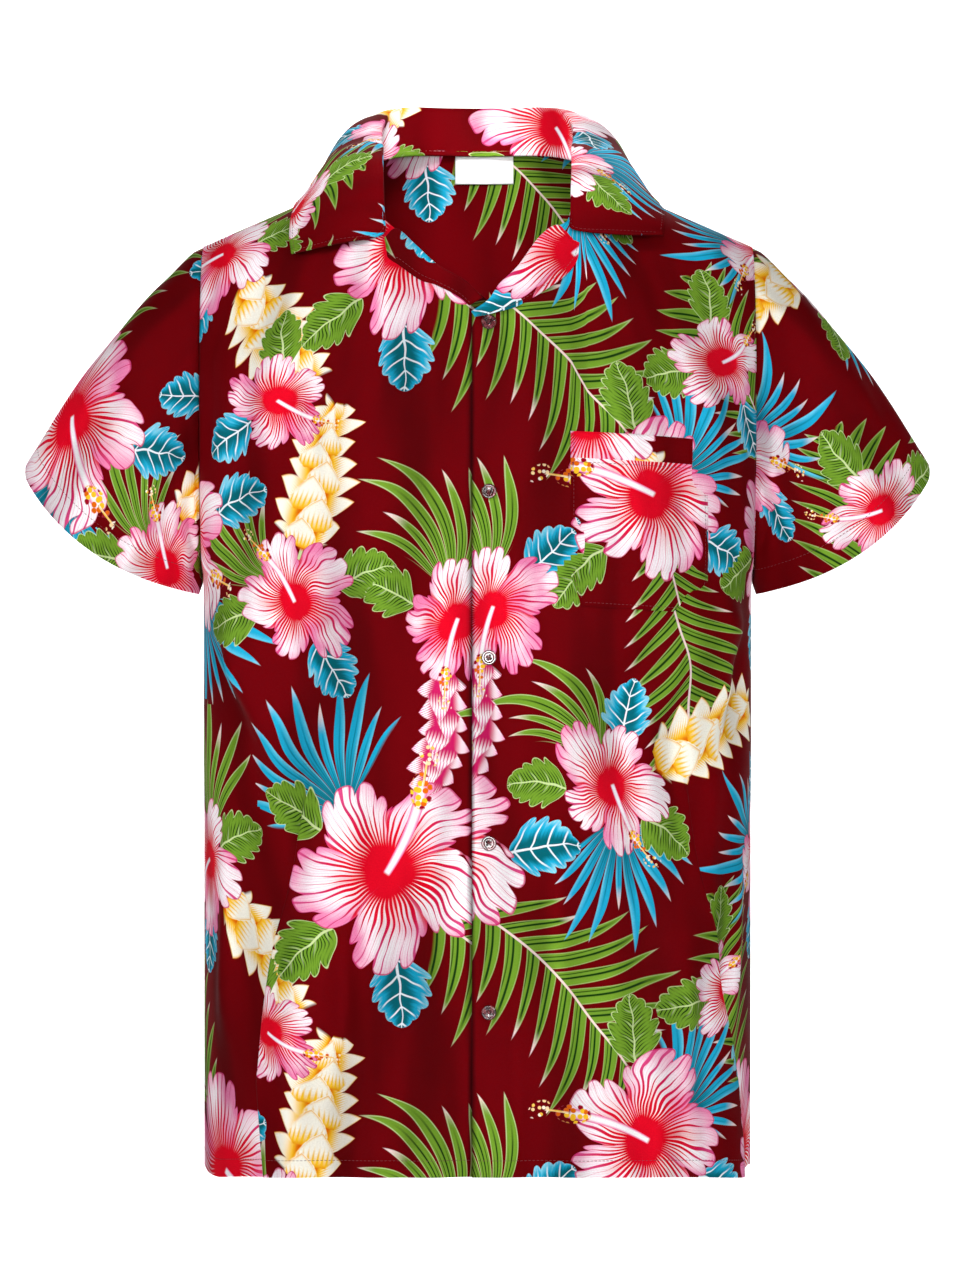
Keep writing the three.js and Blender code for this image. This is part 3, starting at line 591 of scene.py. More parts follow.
def heldClear(points, distance, spots, normals):
    # each point stands at least the distance off its nearest spot of the body, along that spot's normal
    right = points.copy()
    right[..., 0] = np.abs(right[..., 0])
    flatPoints = right.reshape(-1, 3)
    nearest = np.concatenate([((chunk[:, None] - spots[None]) ** 2).sum(-1).argmin(1)
                              for chunk in np.array_split(flatPoints, 24)])
    normal = normals[nearest]
    height = ((flatPoints - spots[nearest]) * normal).sum(-1)
    push = np.maximum(0.0, distance - height).reshape(points.shape[:2])
    for _ in range(3):
        push = np.maximum(push, neighbours(np.pad(push, 1, mode="edge")))
    moved = right + normal.reshape(points.shape) * push[..., None]
    moved[..., 0] *= np.where(points[..., 0] < 0, -1.0, 1.0)
    return moved


def collarHalf(side, spots, normals):
    # up the stand in a straight line, over the roll, then a Catmull-Rom fall through crest, leaf and edge
    rows = throughRows(collar["stations"], np.linspace(0, len(collar["stations"]) - 1, collar["columns"]))
    share, roll, leaf, edge = rows[:, 0], rows[:, 1:4], rows[:, 4:7].copy(), rows[:, 7:10].copy()
    seam = neckSeam(np.clip(share, 0, 1))
    tip = (collar["leftTipRise"] if side > 0 else 0.0) * smooth(0.7, 1.0, share)
    leaf[:, 2] += tip / 2
    edge[:, 2] += tip
    crest = mix(roll, leaf, collar["crestPlace"]) + (0, 0, collar["crestLift"])
    notch = np.array(collar["notch"]) + np.stack([tip * 0, tip * 0, tip * 0.3], -1)
    crest = mix(crest, notch, smooth(0.93, 1.0, share)[:, None])
    up = np.linspace(-collar["belowSeam"] / 40, 0.92, collar["standRows"])[:, None, None]
    bulge = np.sin(np.linspace(0, 1, len(up)) * math.pi)[:, None, None] * unit(roll * (1, 1, 0)) * 1.5
    fallT = np.linspace(0, 3, collar["fallRows"])
    fall = throughRows(np.stack([roll, crest, leaf, edge]), fallT)
    held = heldClear(fall, collar["clear"], spots, normals)
    held = mix(fall, held, smooth(0.15, 0.9, fallT)[:, None, None])
    points = np.concatenate([mix(seam, roll, up) + bulge, held])
    points[..., 0] *= side
    return points


def collarCloth():
    spots = upperBody()
    left, right = (collarHalf(side, *spots) for side in (1, -1))
    points = np.concatenate([right[:, :0:-1], left], 1)
    for _ in range(4):
        inner = points[1:-1, 1:-1]
        points[1:-1, 1:-1] = inner + (neighbours(points) - inner) * 0.5
    middle = points.shape[1] // 2
    level = collar["levelRow"]
    u = running(points, 1)
    u = (u - u[:, [middle]]) * 0.5 + (u[level] - u[level, middle])[None] * 0.5
    flat = np.stack([u, -running(points, 0)], -1)
    return points, flat, shell(points, collar["thickness"], flat, 1, collar["thickness"] / 2)


lapels = {
    # outer edges matched with the rows of the neck opening: distance from the middle, height
    "left": ((-2, 636), (12, 639), (30, 645), (50, 657), (66, 669), (74, 680), (76, 694)),
    "right": ((6, 645.5), (15, 653), (31, 661), (43, 665), (58, 676), (67, 683), (70, 694)),
    "rightEnd": (-3.0, 651.0), "stop": 15.0, "thickness": 0.8, "rest": 1.35, "roll": 1.15, "sunk": 0.5,
    "columns": 70, "rollRows": 9, "rows": 34, "stitchInset": 3.0,
    "hump": {"height": 3.2, "flat": 9.0, "end": 26.0, "x": 8.5, "z": 633.0},
}


def lapelCloth(name):
    # from the fold at the opening's edge the cloth rolls over, radius 1.15, and lies back on the front
    side = 1 if name == "left" else -1
    inner = np.array(openings[name], float)
    if name == "right":
        inner = inner[1:]
        inner[0] = lapels["rightEnd"]
    inner[-1, 1] = body["gorgeZ"] - lapels["stop"]
    t = np.linspace(0, len(inner) - 1, lapels["columns"])
    inner, outer = throughRows(inner, t), throughRows(lapels[name], t)
    roll = np.linspace(-math.pi / 2, math.pi / 2, lapels["rollRows"])[:, None]
    radius, sunk = lapels["roll"], lapels["sunk"]
    s = np.linspace(0, 1, lapels["rows"])[1:, None]
    beyond = np.concatenate([np.cos(roll) * radius, s * 0])
    across = np.concatenate([roll * 0, s])
    laid = mix(2 * radius - sunk, lapels["rest"], smooth(0, 0.25, s))
    height = np.concatenate([radius * (1 + np.sin(roll)) - sunk, laid])
    flatXZ = mix(inner[None], outer[None], across[..., None]) + unit(inner - outer)[None] * beyond[..., None]
    x, z = flatXZ[..., 0], flatXZ[..., 1]
    height = np.broadcast_to(height, x.shape)
    if name == "left":
        hump = lapels["hump"]
        apart = np.hypot(x - hump["x"], z - hump["z"])
        height = height + hump["height"] * smooth(hump["end"], hump["flat"], apart) * smooth(0, 0.5, across)
    points = surfacePoint("front", side * x, z) + surfaceNormal("front", side * x, z) * height[..., None]
    if name == "right":
        tuckUnder(points)
    flat = np.stack([-side * x, z], -1)
    return points, flat, shell(points, lapels["thickness"], flat, outwardSign(points))


def outwardSign(points):
    # 1 if the grid's normals look out of the front of the shirt, else -1
    return 1 if gridNormals(points)[20, 30] @ np.array([0, -1, 0.2]) > 0 else -1


pocket = {
    "inner": 69.0, "outer": 172.0, "mouth": 552.0, "drop": 5.0, "height": 130.0, "corner": 7.0,
    "cornerStart": 0.8, "gape": 4.2, "gapeEnd": 0.35, "rest": 0.75, "lift": 1.5, "thickness": 0.9,
    "mismatch": (-3.0, -8.0), "rows": 60, "columns": 46,
    "stitchColumns": (1.0, 44.0), "stitchRows": (10.4, 57.6),
    # the mouth's hem is turned to the outside, so its print comes from elsewhere on the cloth
    "band": 0.15, "bandFrom": (-312.0, 158.0),
}


def pocketCloth(cut):
    # x = inner..outer with the lower corners drawn in; held off the front by 1.5 mm and gaping in the mouth
    down, across = sheetGrid(pocket["rows"], pocket["columns"])
    pinch = pocket["corner"] * smooth(pocket["cornerStart"], 1.0, down)
    x = mix(pocket["inner"] + pinch, pocket["outer"] - pinch, across)
    z = pocket["mouth"] - pocket["drop"] * across - pocket["height"] * down
    width = pocket["outer"] - pocket["inner"]
    sewn = np.minimum(np.minimum(across, 1 - across) * width, (1 - down) * pocket["height"])
    lift = pocket["rest"] + smooth(0, 6, sewn) * (pocket["lift"] - pocket["rest"]) + 0.6 * across**2
    lift += pocket["gape"] * np.sin(math.pi * across) * (1 - smooth(0, pocket["gapeEnd"], down))
    lift += 0.5 * np.sin(across * 9 + down * 4) * smooth(0, 0.3, down) * smooth(0, 10, sewn)
    points = surfacePoint("front", x, z) + surfaceNormal("front", x, z) * lift[..., None]
    # the print follows the front's own flat width at each height, moved a little as a pocket is never matched
    under, underFlat = cut
    rows = [np.abs(under[:, 70, 2] - height).argmin() for height in z.mean(1)]
    u = np.stack([np.interp(line, under[row, :, 0], underFlat[row, :, 0]) for line, row in zip(x, rows)])
    flat = np.stack([u, z], -1) + pocket["mismatch"]
    made = shell(points, pocket["thickness"], flat, -1)
    turned = down.ravel()[made["faces"] % down.size].mean(1) < pocket["band"]
    made["print"] = made["flat"] + turned[:, None, None] * np.array(pocket["bandFrom"])
    return points, flat, made


label = {
    "middle": 5.5, "width": 47.0, "top": 784.0, "height": 23.0, "thickness": 0.5, "clear": 0.9,
    "rows": 26, "columns": 50, "belly": 0.7, "wave": 0.5,
    "stitchLift": 0.1, "stitchColumns": (1.4, 47.6),
}


def labelCloth():
    # a flat strip that follows the inside of the back, its ends pressed in by the stitches
    down, across = sheetGrid(label["rows"], label["columns"])
    x = label["middle"] + label["width"] * (across - 0.5)
    z = label["top"] - label["height"] * down
    normal = surfaceNormal("back", x, np.minimum(z, backTop(x) - 2))
    pressed = smooth(0, 0.06, np.minimum(across, 1 - across)) * smooth(0, 0.1, down)
    off = cloth["thickness"] + label["clear"] + label["belly"] * pressed
    off = off + label["wave"] * down * np.sin(across * 5.0)
    points = surfacePoint("back", x, np.minimum(z, backTop(x) - 1)) - normal * off[..., None]
    points[..., 2] = z
    flat = np.stack([x, z], -1)
    return points, flat, shell(points, label["thickness"], flat, 1)


class Wire:
    # a node's output that adds, multiplies and compares like a number, by growing the node tree
    def __init__(self, tree, socket):
        self.tree = tree
        self.socket = socket

    def sum(self, operation, *others, clamp=False):
        terms = dict(enumerate((self, *others)))
        return newNode(self.tree, "Math", terms, operation=operation, use_clamp=clamp)[0]

    def __rsub__(self, other):
        return newNode(self.tree, "Math", {0: other, 1: self}, operation="SUBTRACT")[0]

    def clamped(self):
        return self.sum("ADD", 0.0, clamp=True)


def addMethod(name, operation):
    setattr(Wire, name, lambda self, *others: self.sum(operation, *others))


for methods, operation in {
    "__add__ __radd__": "ADD", "__sub__": "SUBTRACT", "__mul__ __rmul__": "MULTIPLY", "__truediv__": "DIVIDE",
    "__pow__": "POWER", "least": "MINIMUM", "most": "MAXIMUM", "modulo": "MODULO", "angle": "ARCTAN2",
    "abs": "ABSOLUTE", "floor": "FLOOR", "fract": "FRACT", "sin": "SINE", "root": "SQRT", "sign": "SIGN",
}.items():
    for method in methods.split():
        addMethod(method, operation)


def newNode(tree, kind, inputs, **settings):
    # a node with its settings made and its inputs fed, as the list of its outputs
    node = tree.nodes.new("ShaderNode" + kind)
    for name, value in settings.items():
        setattr(node, name, value)
    for key, value in inputs.items():
        feed(node.inputs[key], value)
    return [Wire(tree, out) for out in node.outputs]


def feed(slot, value):
    if isinstance(value, Wire):
        value.tree.links.new(value.socket, slot)
    else:
        slot.default_value = value


def rise(wire, start, end):
    # 0 below start, 1 above end, smooth between; start may be above end
    values = {"Value": wire, "From Min": start, "From Max": end}
    return newNode(wire.tree, "MapRange", values, interpolation_type="SMOOTHSTEP")[0]


def blend(factor, first, second):
    # two colours, each a wire, an ink's name or three numbers up to 255
    colors = [value if isinstance(value, Wire) else tint(inks.get(value, value)) for value in (first, second)]
    return newNode(factor.tree, "Mix", {0: factor, 6: colors[0], 7: colors[1]}, data_type="RGBA")[2]


def layered(base, *coats):
    # each coat of ink covers what lies under it by its own share
    for share, ink in coats:
        base = blend(share, base, ink)
    return base


def choose(factor, first, second):
    return newNode(factor.tree, "Mix", {0: factor, 2: first, 3: second}, data_type="FLOAT")[0]


def tint(color):
    linear = [c / 12.92 if c <= 0.04045 else ((c + 0.055) / 1.055) ** 2.4 for c in (v / 255 for v in color)]
    return (*linear, 1.0)


def bundle(tree, x, y, z=0.0):
    return newNode(tree, "CombineXYZ", {0: x, 1: y, 2: z})[0]


def parts(wire):
    return newNode(wire.tree, "SeparateXYZ", {0: wire})


def wander(place, scale, detail=0.0):
    # soft noise from 0 to 1, as a number and as a colour's three parts
    return newNode(place.tree, "TexNoise", {"Vector": place, "Scale": scale, "Detail": detail})


def chance(tree, a, b=0.0):
    # one fixed random number from 0 to 1 for each pair of whole numbers
    return newNode(tree, "TexWhiteNoise", {"Vector": bundle(tree, a, b)}, noise_dimensions="2D")[0]


def readPlace(place, scale, detail=0.0):
    # a motif's own x and y, its kind, a whole number for its luck and a lean from -0.5 to 0.5, then soft
    # noise from 0 to 1 and a drift along x and y from -0.5 to 0.5 that make the drawing uneven
    x, y, code = parts(place)
    whole = (code * 100.0 + 0.5).floor()
    kind = (whole * 0.01 + 0.001).floor()
    wobble, drift = wander(bundle(place.tree, x, y, whole * 0.37), scale, detail)
    dx, dy, _ = parts(drift)
    return x, y, kind, whole, (whole - kind * 100.0) * 0.01 - 0.5, wobble, dx - 0.5, dy - 0.5


def cells(count):
    # the whole number of the cell a count lies in, and the place in it from -0.5 to 0.5
    cell = count.floor()
    return cell, count - cell - 0.5


def motifGroup(name, draw):
    group = bpy.data.node_groups.new(name, "ShaderNodeTree")
    group.interface.new_socket("Place", in_out="INPUT", socket_type="NodeSocketVector")
    for output, kind in (("Color", "Color"), ("Mask", "Float")):
        group.interface.new_socket(output, in_out="OUTPUT", socket_type=f"NodeSocket{kind}")
    source = group.nodes.new("NodeGroupInput")
    sink = group.nodes.new("NodeGroupOutput")
    for slot, value in zip(sink.inputs, draw(Wire(group, source.outputs[0]))):
        feed(slot, value)
    return group


inks = {
    # fold is the colour of the painted shadow along the overlap of the fronts
    "ground": (104, 0, 6), "shade": (60, 0, 6), "fold": (26, 0, 3),
    "white": (255, 250, 253), "pink": (240, 104, 166), "rose": (208, 30, 98), "crimson": (226, 6, 34),
    "deep": (158, 0, 30), "leaf": (114, 157, 44), "leafDark": (20, 56, 16), "leafPale": (204, 220, 158),
    "sky": (122, 214, 240), "blue": (26, 174, 214), "teal": (0, 100, 112), "ice": (230, 244, 250),
    "cream": (255, 250, 236), "yellow": (254, 198, 36), "orange": (230, 104, 8), "tip": (246, 218, 212),
}


def drawHibiscus(place):
    # Five fan-shaped petals: at share t across a petal its edge lies at size * (1 - |t / 0.6| ^ 2.6) ^ 0.5,
    # scalloped; each petal lies over the last.
    tree = place.tree
    x0, y0, _, seed, _, _, dx, dy = readPlace(place, 2.2, 1.0)
    x = x0 + dx * 0.2
    y = y0 + dy * 0.2
    r = (x * x + y * y).root()
    q = y.angle(x) * (5 / (2 * math.pi)) + (r - 0.4) * 0.3
    under = q.floor()
    tUnder = q - under
    tOver = tUnder - 1.0

    def reach(t, petal):
        wrapped = (petal + 20.0).modulo(5.0)
        size = 0.82 + chance(tree, wrapped, seed) * 0.22
        shape = (1.0 - (t.abs() * (1 / 0.6)).least(1.0) ** 2.6).root()
        lobe = 1.0 - (t * (math.pi * 4.4) + wrapped * 1.3 + dy * 4.0).sin().abs()
        return size * shape * (1.0 - lobe * lobe * 0.15), wrapped

    edgeOver, idOver = reach(tOver, under + 1.0)
    edgeUnder, idUnder = reach(tUnder, under)
    onOver = rise(edgeOver - r, 0.0, 0.008)
    onUnder = rise(edgeUnder - r, 0.0, 0.008)
    t = choose(onOver, tUnder, tOver)
    edge = choose(onOver, edgeUnder, edgeOver)
    petal = choose(onOver, idUnder, idOver)
    shadow = rise(r - edgeOver, 0.26, 0.0) * (1.0 - onOver) * rise(edgeOver, 0.1, 0.4)

    # lines of ink run out from the heart and in from the edge, each of its own length
    near = r / edge.most(0.05)
    streak = t * 12.0 + dx * 1.3
    line = streak.floor()
    luck = chance(tree, line, petal + seed * 7.0)
    off = (streak - line - 0.5).abs() * 2.0
    fromHeart = (1.0 - r / (0.5 + luck * 0.55)).most(0.0) * 1.25 + rise(r, 0.3, 0.06)
    fromEdge = rise(near, 0.4, 1.04) * (0.06 + luck * luck * 0.5)
    girth = fromHeart.most(fromEdge).most(rise(near, 1.0, 0.2) * 0.12 + 0.06)
    stroke = rise(off, girth + 0.03, girth - 0.12)
    fine = rise(((t * 34.0).fract() - 0.5).abs(), 0.16, 0.05) * rise(near, 0.15, 0.6) * 0.35
    blush = chance(tree, petal, seed + 50.0) * 0.4 + t.abs() * 0.7 + dy * 0.9 + rise(near, 0.7, 1.05) * 0.22
    ink = blend(rise(r, 0.34, 0.78), "crimson", "rose")
    rim = blend(onOver * rise(edgeUnder - r, -0.02, 0.02), "rose", "crimson")
    color = layered(
        "white", (rise(blush, 0.22, 0.78) * 0.88, "pink"), (fine, "pink"),
        (stroke, blend(rise(near, 0.6, 1.0) * 0.45, ink, "pink")), (shadow * 0.85, "crimson"),
        (rise(t.abs() + luck * 0.2, 0.34, 0.05) * rise(r, 0.72, 0.3) * 0.6, "crimson"),
        (rise(r + luck * 0.12, 0.44, 0.16) * 0.9, "crimson"),
        (rise(edge - r, 0.028, 0.01) * 0.85, rim))

    # the column: a pale tube that bends away from the heart, with a tuft of stamens and five tips
    bend = y0 - x0 * x0 * 0.22
    aslant = x0 * 0.03
    tube = rise(bend.abs(), 0.04 + aslant, 0.03 + aslant) * rise(x0, -0.05, -0.02) * rise(x0, 0.84, 0.8)
    dots = newNode(tree, "TexVoronoi", {"Scale": 17.0, "Vector": place}, voronoi_dimensions="2D")
    dotOff, pick = dots[0], parts(dots[1])[0]
    along = (x0 - 0.78) / 0.17
    aside = bend / 0.12
    tuft = rise(along * along + aside * aside, 1.0, 0.75) * rise(dotOff, 0.52, 0.4)
    pollen = layered("yellow", (rise(pick, 0.35, 0.4), "orange"), (rise(pick, 0.72, 0.76), "deep"))
    stem = rise(bend.abs(), 0.014, 0.008) * rise(x0, 0.8, 0.84) * rise(x0, 1.06, 1.03)
    far = (x0 - 1.1) / 0.1
    tips = rise(far * far + aside * aside, 1.0, 0.8) * rise(dotOff, 0.36, 0.28)
    color = layered(
        color, (tube, blend(rise(bend.abs(), 0.014, 0.036 + aslant), "white", "pink")), (tuft, pollen),
        (tips.most(stem), blend(pick, "cream", "yellow")))
    return color, onOver.most(onUnder).most(tube).most(tuft).most(tips).most(stem)


def drawLeaf(place):
    # A lobed leaf from base -0.5 to tip 0.5: half width = v ^ 0.62 * (1 - v) ^ 0.72, cut by slanting lobes.
    # Kind 0 is green, 1 is blue.
    x0, y0, kind, _, lean, wobble, dx, dy = readPlace(place, 4.0)
    v = (y0 + 0.5 + dy * 0.08).clamped()
    x = x0 + dx * 0.08 + (v - 0.5) * (v - 0.5) * lean * 0.8
    u = x.abs()
    slant = v - u * 0.75
    tooth = (slant * 4.6 + 0.3).fract()
    lobe = tooth * (1.0 - tooth ** 3.0) * 2.1
    half = (v ** 0.62) * ((1.0 - v) ** 0.72) * (0.8 + lobe * 0.27 * rise(v, 0.02, 0.25))
    share = u / half.most(0.01)
    rib = rise(u, 0.022 - v * 0.014, 0.014 - v * 0.01)
    ray = rise(((slant * 4.6 + 0.18).fract() - 0.5).abs(), 0.09, 0.03) * rise(share, 0.9, 0.5)
    comb = ((slant * 19.0 + wobble * 1.5).fract() - 0.5).abs()
    hatch = rise(comb, 0.24, 0.1) * (rise(share, 0.75, 0.3).most(rise(share, 0.6, 0.98) * 0.8))
    green = layered("leaf", (hatch, "leafDark"), (rib.most(ray * rise(share, 0.5, 0.1) * 0.6), "leafPale"),
                    (rise(half - u, 0.03, 0.012), "leafPale"))
    water = layered(
        "teal", (rise(share + (wobble - 0.5) * 0.5, 0.2, 0.75), "blue"),
        (rise(share + (wobble - 0.5), 0.75, 1.1), "sky"), (hatch * 0.5, "teal"),
        (rise(comb, 0.16, 0.05) * rise(share, 0.7, 0.98) * 0.7, "ice"), (rib.most(ray), "ice"))
    return blend(kind, green, water), rise(half - u, 0.0, 0.012) * rise(v, 0.0, 0.01) * rise(v, 1.0, 0.99)


def drawFrond(place):
    # A feather palm: leaflets leave the rib at v - 0.85 u + 0.75 u ^ 2 and taper to a point.
    x0, y0, _, seed, lean, _, dx, dy = readPlace(place, 2.4)
    x = x0 + dx * 0.05 + (y0 * y0 - 0.25) * (lean * 0.9)
    side = x.sign()
    u = x.abs()
    v = y0 + dy * 0.05 + 0.5
    start = v - u * 0.85 + u * u * 0.75
    leaflet, f = cells(start * 10.0 + side * 0.27)
    luck = chance(place.tree, leaflet, side * 200.0 + seed)
    envelope = (1.0 - ((start - 0.42) / 0.6).abs().least(1.0) ** 2.4)
    share = (u / (envelope * (0.28 + luck * 0.14) + 0.02)).least(1.2)
    inside = (1.0 - share.least(1.0) ** 1.7) * (0.33 + luck * 0.12) - f.abs()
    quill = rise(u, 0.0062, 0.0036) * rise(v, -0.06, -0.05) * rise(v, 0.98, 0.9)
    mid = rise(f.abs(), 0.075, 0.03) * rise(share, 0.9, 0.6)
    flank = rise((f + 0.22).abs(), 0.05, 0.015) * rise(share, 0.75, 0.4)
    mask = rise(inside, 0.0, 0.05) * rise(start, 0.0, 0.02) * rise(start, 1.0, 0.98)
    return layered(
        "leaf", (mid.most(flank * 0.8), "leafDark"), (rise(inside, 0.08, 0.03) * 0.55, "leafPale"),
        (rise(share, 0.62 + luck * 0.3, 0.86 + luck * 0.3), "tip"), (quill, "tip")), mask.most(quill)


def drawFan(place):
    # Blades leave one point: at angle a and distance r a blade fills |f| < half * (1 - (r / length) ^ 2.4).
    # Kind 0 is a green sheaf of long blades, 1 a blue fan.
    x0, y0, kind, seed, lean, _, dx, dy = readPlace(place, 2.4)
    x = x0 + dx * 0.07
    y = y0 + 0.5 + dy * 0.07
    r = (x * x + y * y).root()
    a = x.angle(y) + r * r * lean * choose(kind, 1.9, 0.9)
    spread = choose(kind, 0.75, 1.15)
    blade, f = cells(a * choose(kind, 4.3, 4.9))
    luck = chance(place.tree, blade, seed)
    share = (r / ((0.66 + luck * 0.36) * (1.0 - (a / spread) ** 2.0 * 0.3))).least(1.2)
    inside = (1.0 - share.least(1.0) ** 2.4) * (0.44 + luck * 0.1) - f.abs()
    mid = rise(f.abs(), 0.07, 0.025) * rise(share, 0.85, 0.5)
    lines = mid.most(rise((f.abs() - 0.24).abs(), 0.045, 0.012) * rise(share, 0.6, 0.35))
    green = layered("leaf", (lines, "leafDark"), (rise(inside, 0.09, 0.035) * 0.8, "leafPale"))
    water = layered("teal", (rise(share, 0.05, 0.6), "blue"), (rise(f + share * 0.5, 0.34, 0.75), "sky"),
                    (lines * 0.6, "teal"))
    color = layered(green, (kind, water), (rise(share, 0.68 + luck * 0.3, 0.9 + luck * 0.3), "tip"))
    return color, rise(inside, 0.0, 0.04) * rise(a.abs(), spread, spread - 0.05)


def drawGinger(place):
    # Bracts leave a stalk on both sides, half width (1 - share^3) and tips outside the girth; a row of
    # smaller ones, half width (1 - (t / 1.7)^2), lies up the middle, each tip over the next one's base.
    # Kind 0 is cream and orange, 1 is pink.
    x0, y0, kind, seed, lean, _, dx, dy = readPlace(place, 4.0)
    v = y0 + 0.5 + dy * 0.06
    x = x0 + dx * 0.06 + (y0 * y0 - 0.2) * lean * 0.5
    side = x.sign()
    u = x.abs()
    slant = v - u * 0.62
    girth = (1.0 - ((slant - 0.34) / 0.7).abs().least(1.0) ** 2.4) * choose(kind, 0.25, 0.18) + 0.025
    row, f = cells(slant * 7.2 + side * 0.25)
    luck = chance(place.tree, row, side * 40.0 + seed)
    share = (u / (girth * (0.86 + luck * 0.26))).least(1.2)
    sideIn = (1.0 - share.least(1.0) ** 3.0) * 0.64 - (f + share * share * 0.12).abs()
    onSide = rise(sideIn, 0.0, 0.06) * rise(slant, -0.06, -0.03) * rise(slant, 0.93, 0.9)

    level = v * 8.0 + 0.2
    line = level.floor()
    up = level - line
    girthUp = (1.0 - ((v - 0.36) / 0.66).abs().least(1.0) ** 2.2) * choose(kind, 0.15, 0.105) + 0.012

    def scale(t, line):
        bx = x / girthUp - ((line * 0.5).fract() - 0.25) * 1.1
        return bx, (1.0 - (t / 1.7).clamped() ** 2.0) * (0.55 + rise(t, 0.0, 0.5) * 0.4) - bx.abs()

    _, lowIn = scale(up + 1.0, line - 1.0)
    bxTop, topIn = scale(up, line)
    onLow = rise(lowIn, 0.0, 0.1) * rise(line, 0.5, 0.9)
    onTop = rise(topIn, 0.0, 0.1) * rise(line, -0.5, -0.1)
    onMiddle = onLow.most(onTop) * rise(v, 0.96, 0.94)
    t = choose(onLow, up, up + 1.0) * (1 / 1.7)
    height = choose(onMiddle, (share - 0.3) * 1.4, t)
    inside = choose(onMiddle, sideIn, choose(onLow, topIn, lowIn) * 0.6)
    hatch = rise(((choose(onMiddle, f * 9.0, bxTop * 5.0)).fract() - 0.5).abs(), 0.3, 0.08)
    warm = layered(
        "orange", (rise(height, -0.1, 0.14), "yellow"), (rise(height - hatch * 0.2, 0.04, 0.42), "cream"),
        (rise(inside, 0.16, 0.0) * rise(height, 0.3, 0.85), "yellow"),
        (rise(inside, 0.09, 0.0) * (rise(height, 0.35, 0.85) * 0.7 + 0.3), "orange"))
    cool = layered(
        "rose", (rise(height - hatch * 0.25, 0.1, 0.6), "white"),
        (rise(height + hatch * 0.3, 0.7, 1.1), "pink"), (rise(inside, 0.1, 0.0) * 0.8, "rose"))
    mask = onSide.most(onMiddle)
    stalk = rise(x.abs(), 0.014, 0.009) * rise(v, -0.13, -0.11) * rise(v, 0.1, 0.06)
    return blend(stalk * (1.0 - mask), blend(kind, warm, cool), "leafPale"), mask.most(stalk)


motifs = {
    # reach: half width and half height of the ellipse that holds one motif, in its own units
    "frond": {"draw": drawFrond, "reach": (0.5, 0.64)},
    "fan": {"draw": drawFan, "reach": (1.0, 0.72)},
    "ginger": {"draw": drawGinger, "reach": (0.34, 0.74)},
    "leaf": {"draw": drawLeaf, "reach": (0.5, 0.6)},
    "hibiscus": {"draw": drawHibiscus, "reach": (1.24, 1.1)},
}

# One repeat of the print, in metres of flat cloth. Each posy is a flower, with its place and size in mm, and
# what grows out from behind it: direction in degrees, how far from the flower's middle it starts and how long
# it is, both in mm, its kind (0 or 1) and its luck.
repeat = {"width": 0.54, "height": 0.47}
motifReach = 0.2
nowhere = (9.0, 9.0, 0.0)
posies = [
    {"flower": (90, 112), "size": 79, "turn": -38, "narrow": 1.0, "seed": 13,
     "leaf": [(205, 58, 54, 0, 30), (252, 60, 52, 1, 71), (20, 62, 52, 1, 22)],
     "frond": [(114, 45, 165, 0, 12)], "fan": [(-62, 42, 118, 1, 44)]},
    {"flower": (296, 336), "size": 80, "turn": 58, "narrow": 1.0, "seed": 47,
     "leaf": [(150, 60, 56, 0, 64), (276, 62, 54, 1, 35), (222, 62, 56, 0, 81), (6, 62, 54, 1, 18)],
     "frond": [(-46, 48, 180, 0, 27)], "fan": [(128, 52, 125, 1, 33)]},
    {"flower": (462, 128), "size": 75, "turn": 152, "narrow": 0.92, "seed": 25,
     "leaf": [(96, 56, 52, 0, 52), (-26, 54, 50, 1, 15), (225, 54, 50, 0, 93)],
     "fan": [(40, 32, 112, 1, 61)], "frond": [(-78, 35, 160, 0, 28)]},
    {"flower": (222, 66), "size": 57, "turn": 118, "narrow": 0.9, "seed": 82,
     "leaf": [(196, 34, 48, 0, 47), (300, 34, 50, 1, 60), (20, 36, 48, 0, 12)],
     "ginger": [(78, 42, 114, 0, 50)], "fan": [(142, 20, 118, 0, 23)]},
    {"flower": (100, 338), "size": 58, "turn": 205, "narrow": 0.95, "seed": 36,
     "leaf": [(122, 36, 48, 1, 77), (262, 36, 50, 1, 9), (20, 36, 48, 0, 31)],
     "fan": [(172, 22, 105, 1, 25), (70, 20, 135, 0, 57)], "ginger": [(-40, 50, 126, 0, 66)]},
    {"flower": (436, 388), "size": 58, "turn": -70, "narrow": 0.78, "seed": 59,
     "leaf": [(78, 34, 48, 1, 20), (176, 34, 46, 0, 86), (322, 34, 48, 0, 41)],
     "ginger": [(22, 44, 126, 0, 34)], "fan": [(280, 22, 105, 1, 37), (116, 24, 105, 0, 88)]},
    {"flower": (4, 236), "size": 55, "turn": 20, "narrow": 0.72, "seed": 71,
     "leaf": [(190, 28, 48, 0, 68), (292, 30, 46, 1, 55), (80, 28, 48, 0, 84)]},
    {"flower": (204, 214), "size": 50, "turn": 330, "narrow": 0.8, "seed": 64,
     "leaf": [(104, 26, 46, 0, 29), (212, 26, 46, 1, 53)]},
    {"flower": (346, 50), "size": 55, "turn": 250, "narrow": 0.85, "seed": 90,
     "leaf": [(44, 36, 48, 1, 38), (156, 34, 46, 0, 73)],
     "ginger": [(-100, 42, 104, 1, 17)], "fan": [(98, 20, 125, 0, 79)]},
]


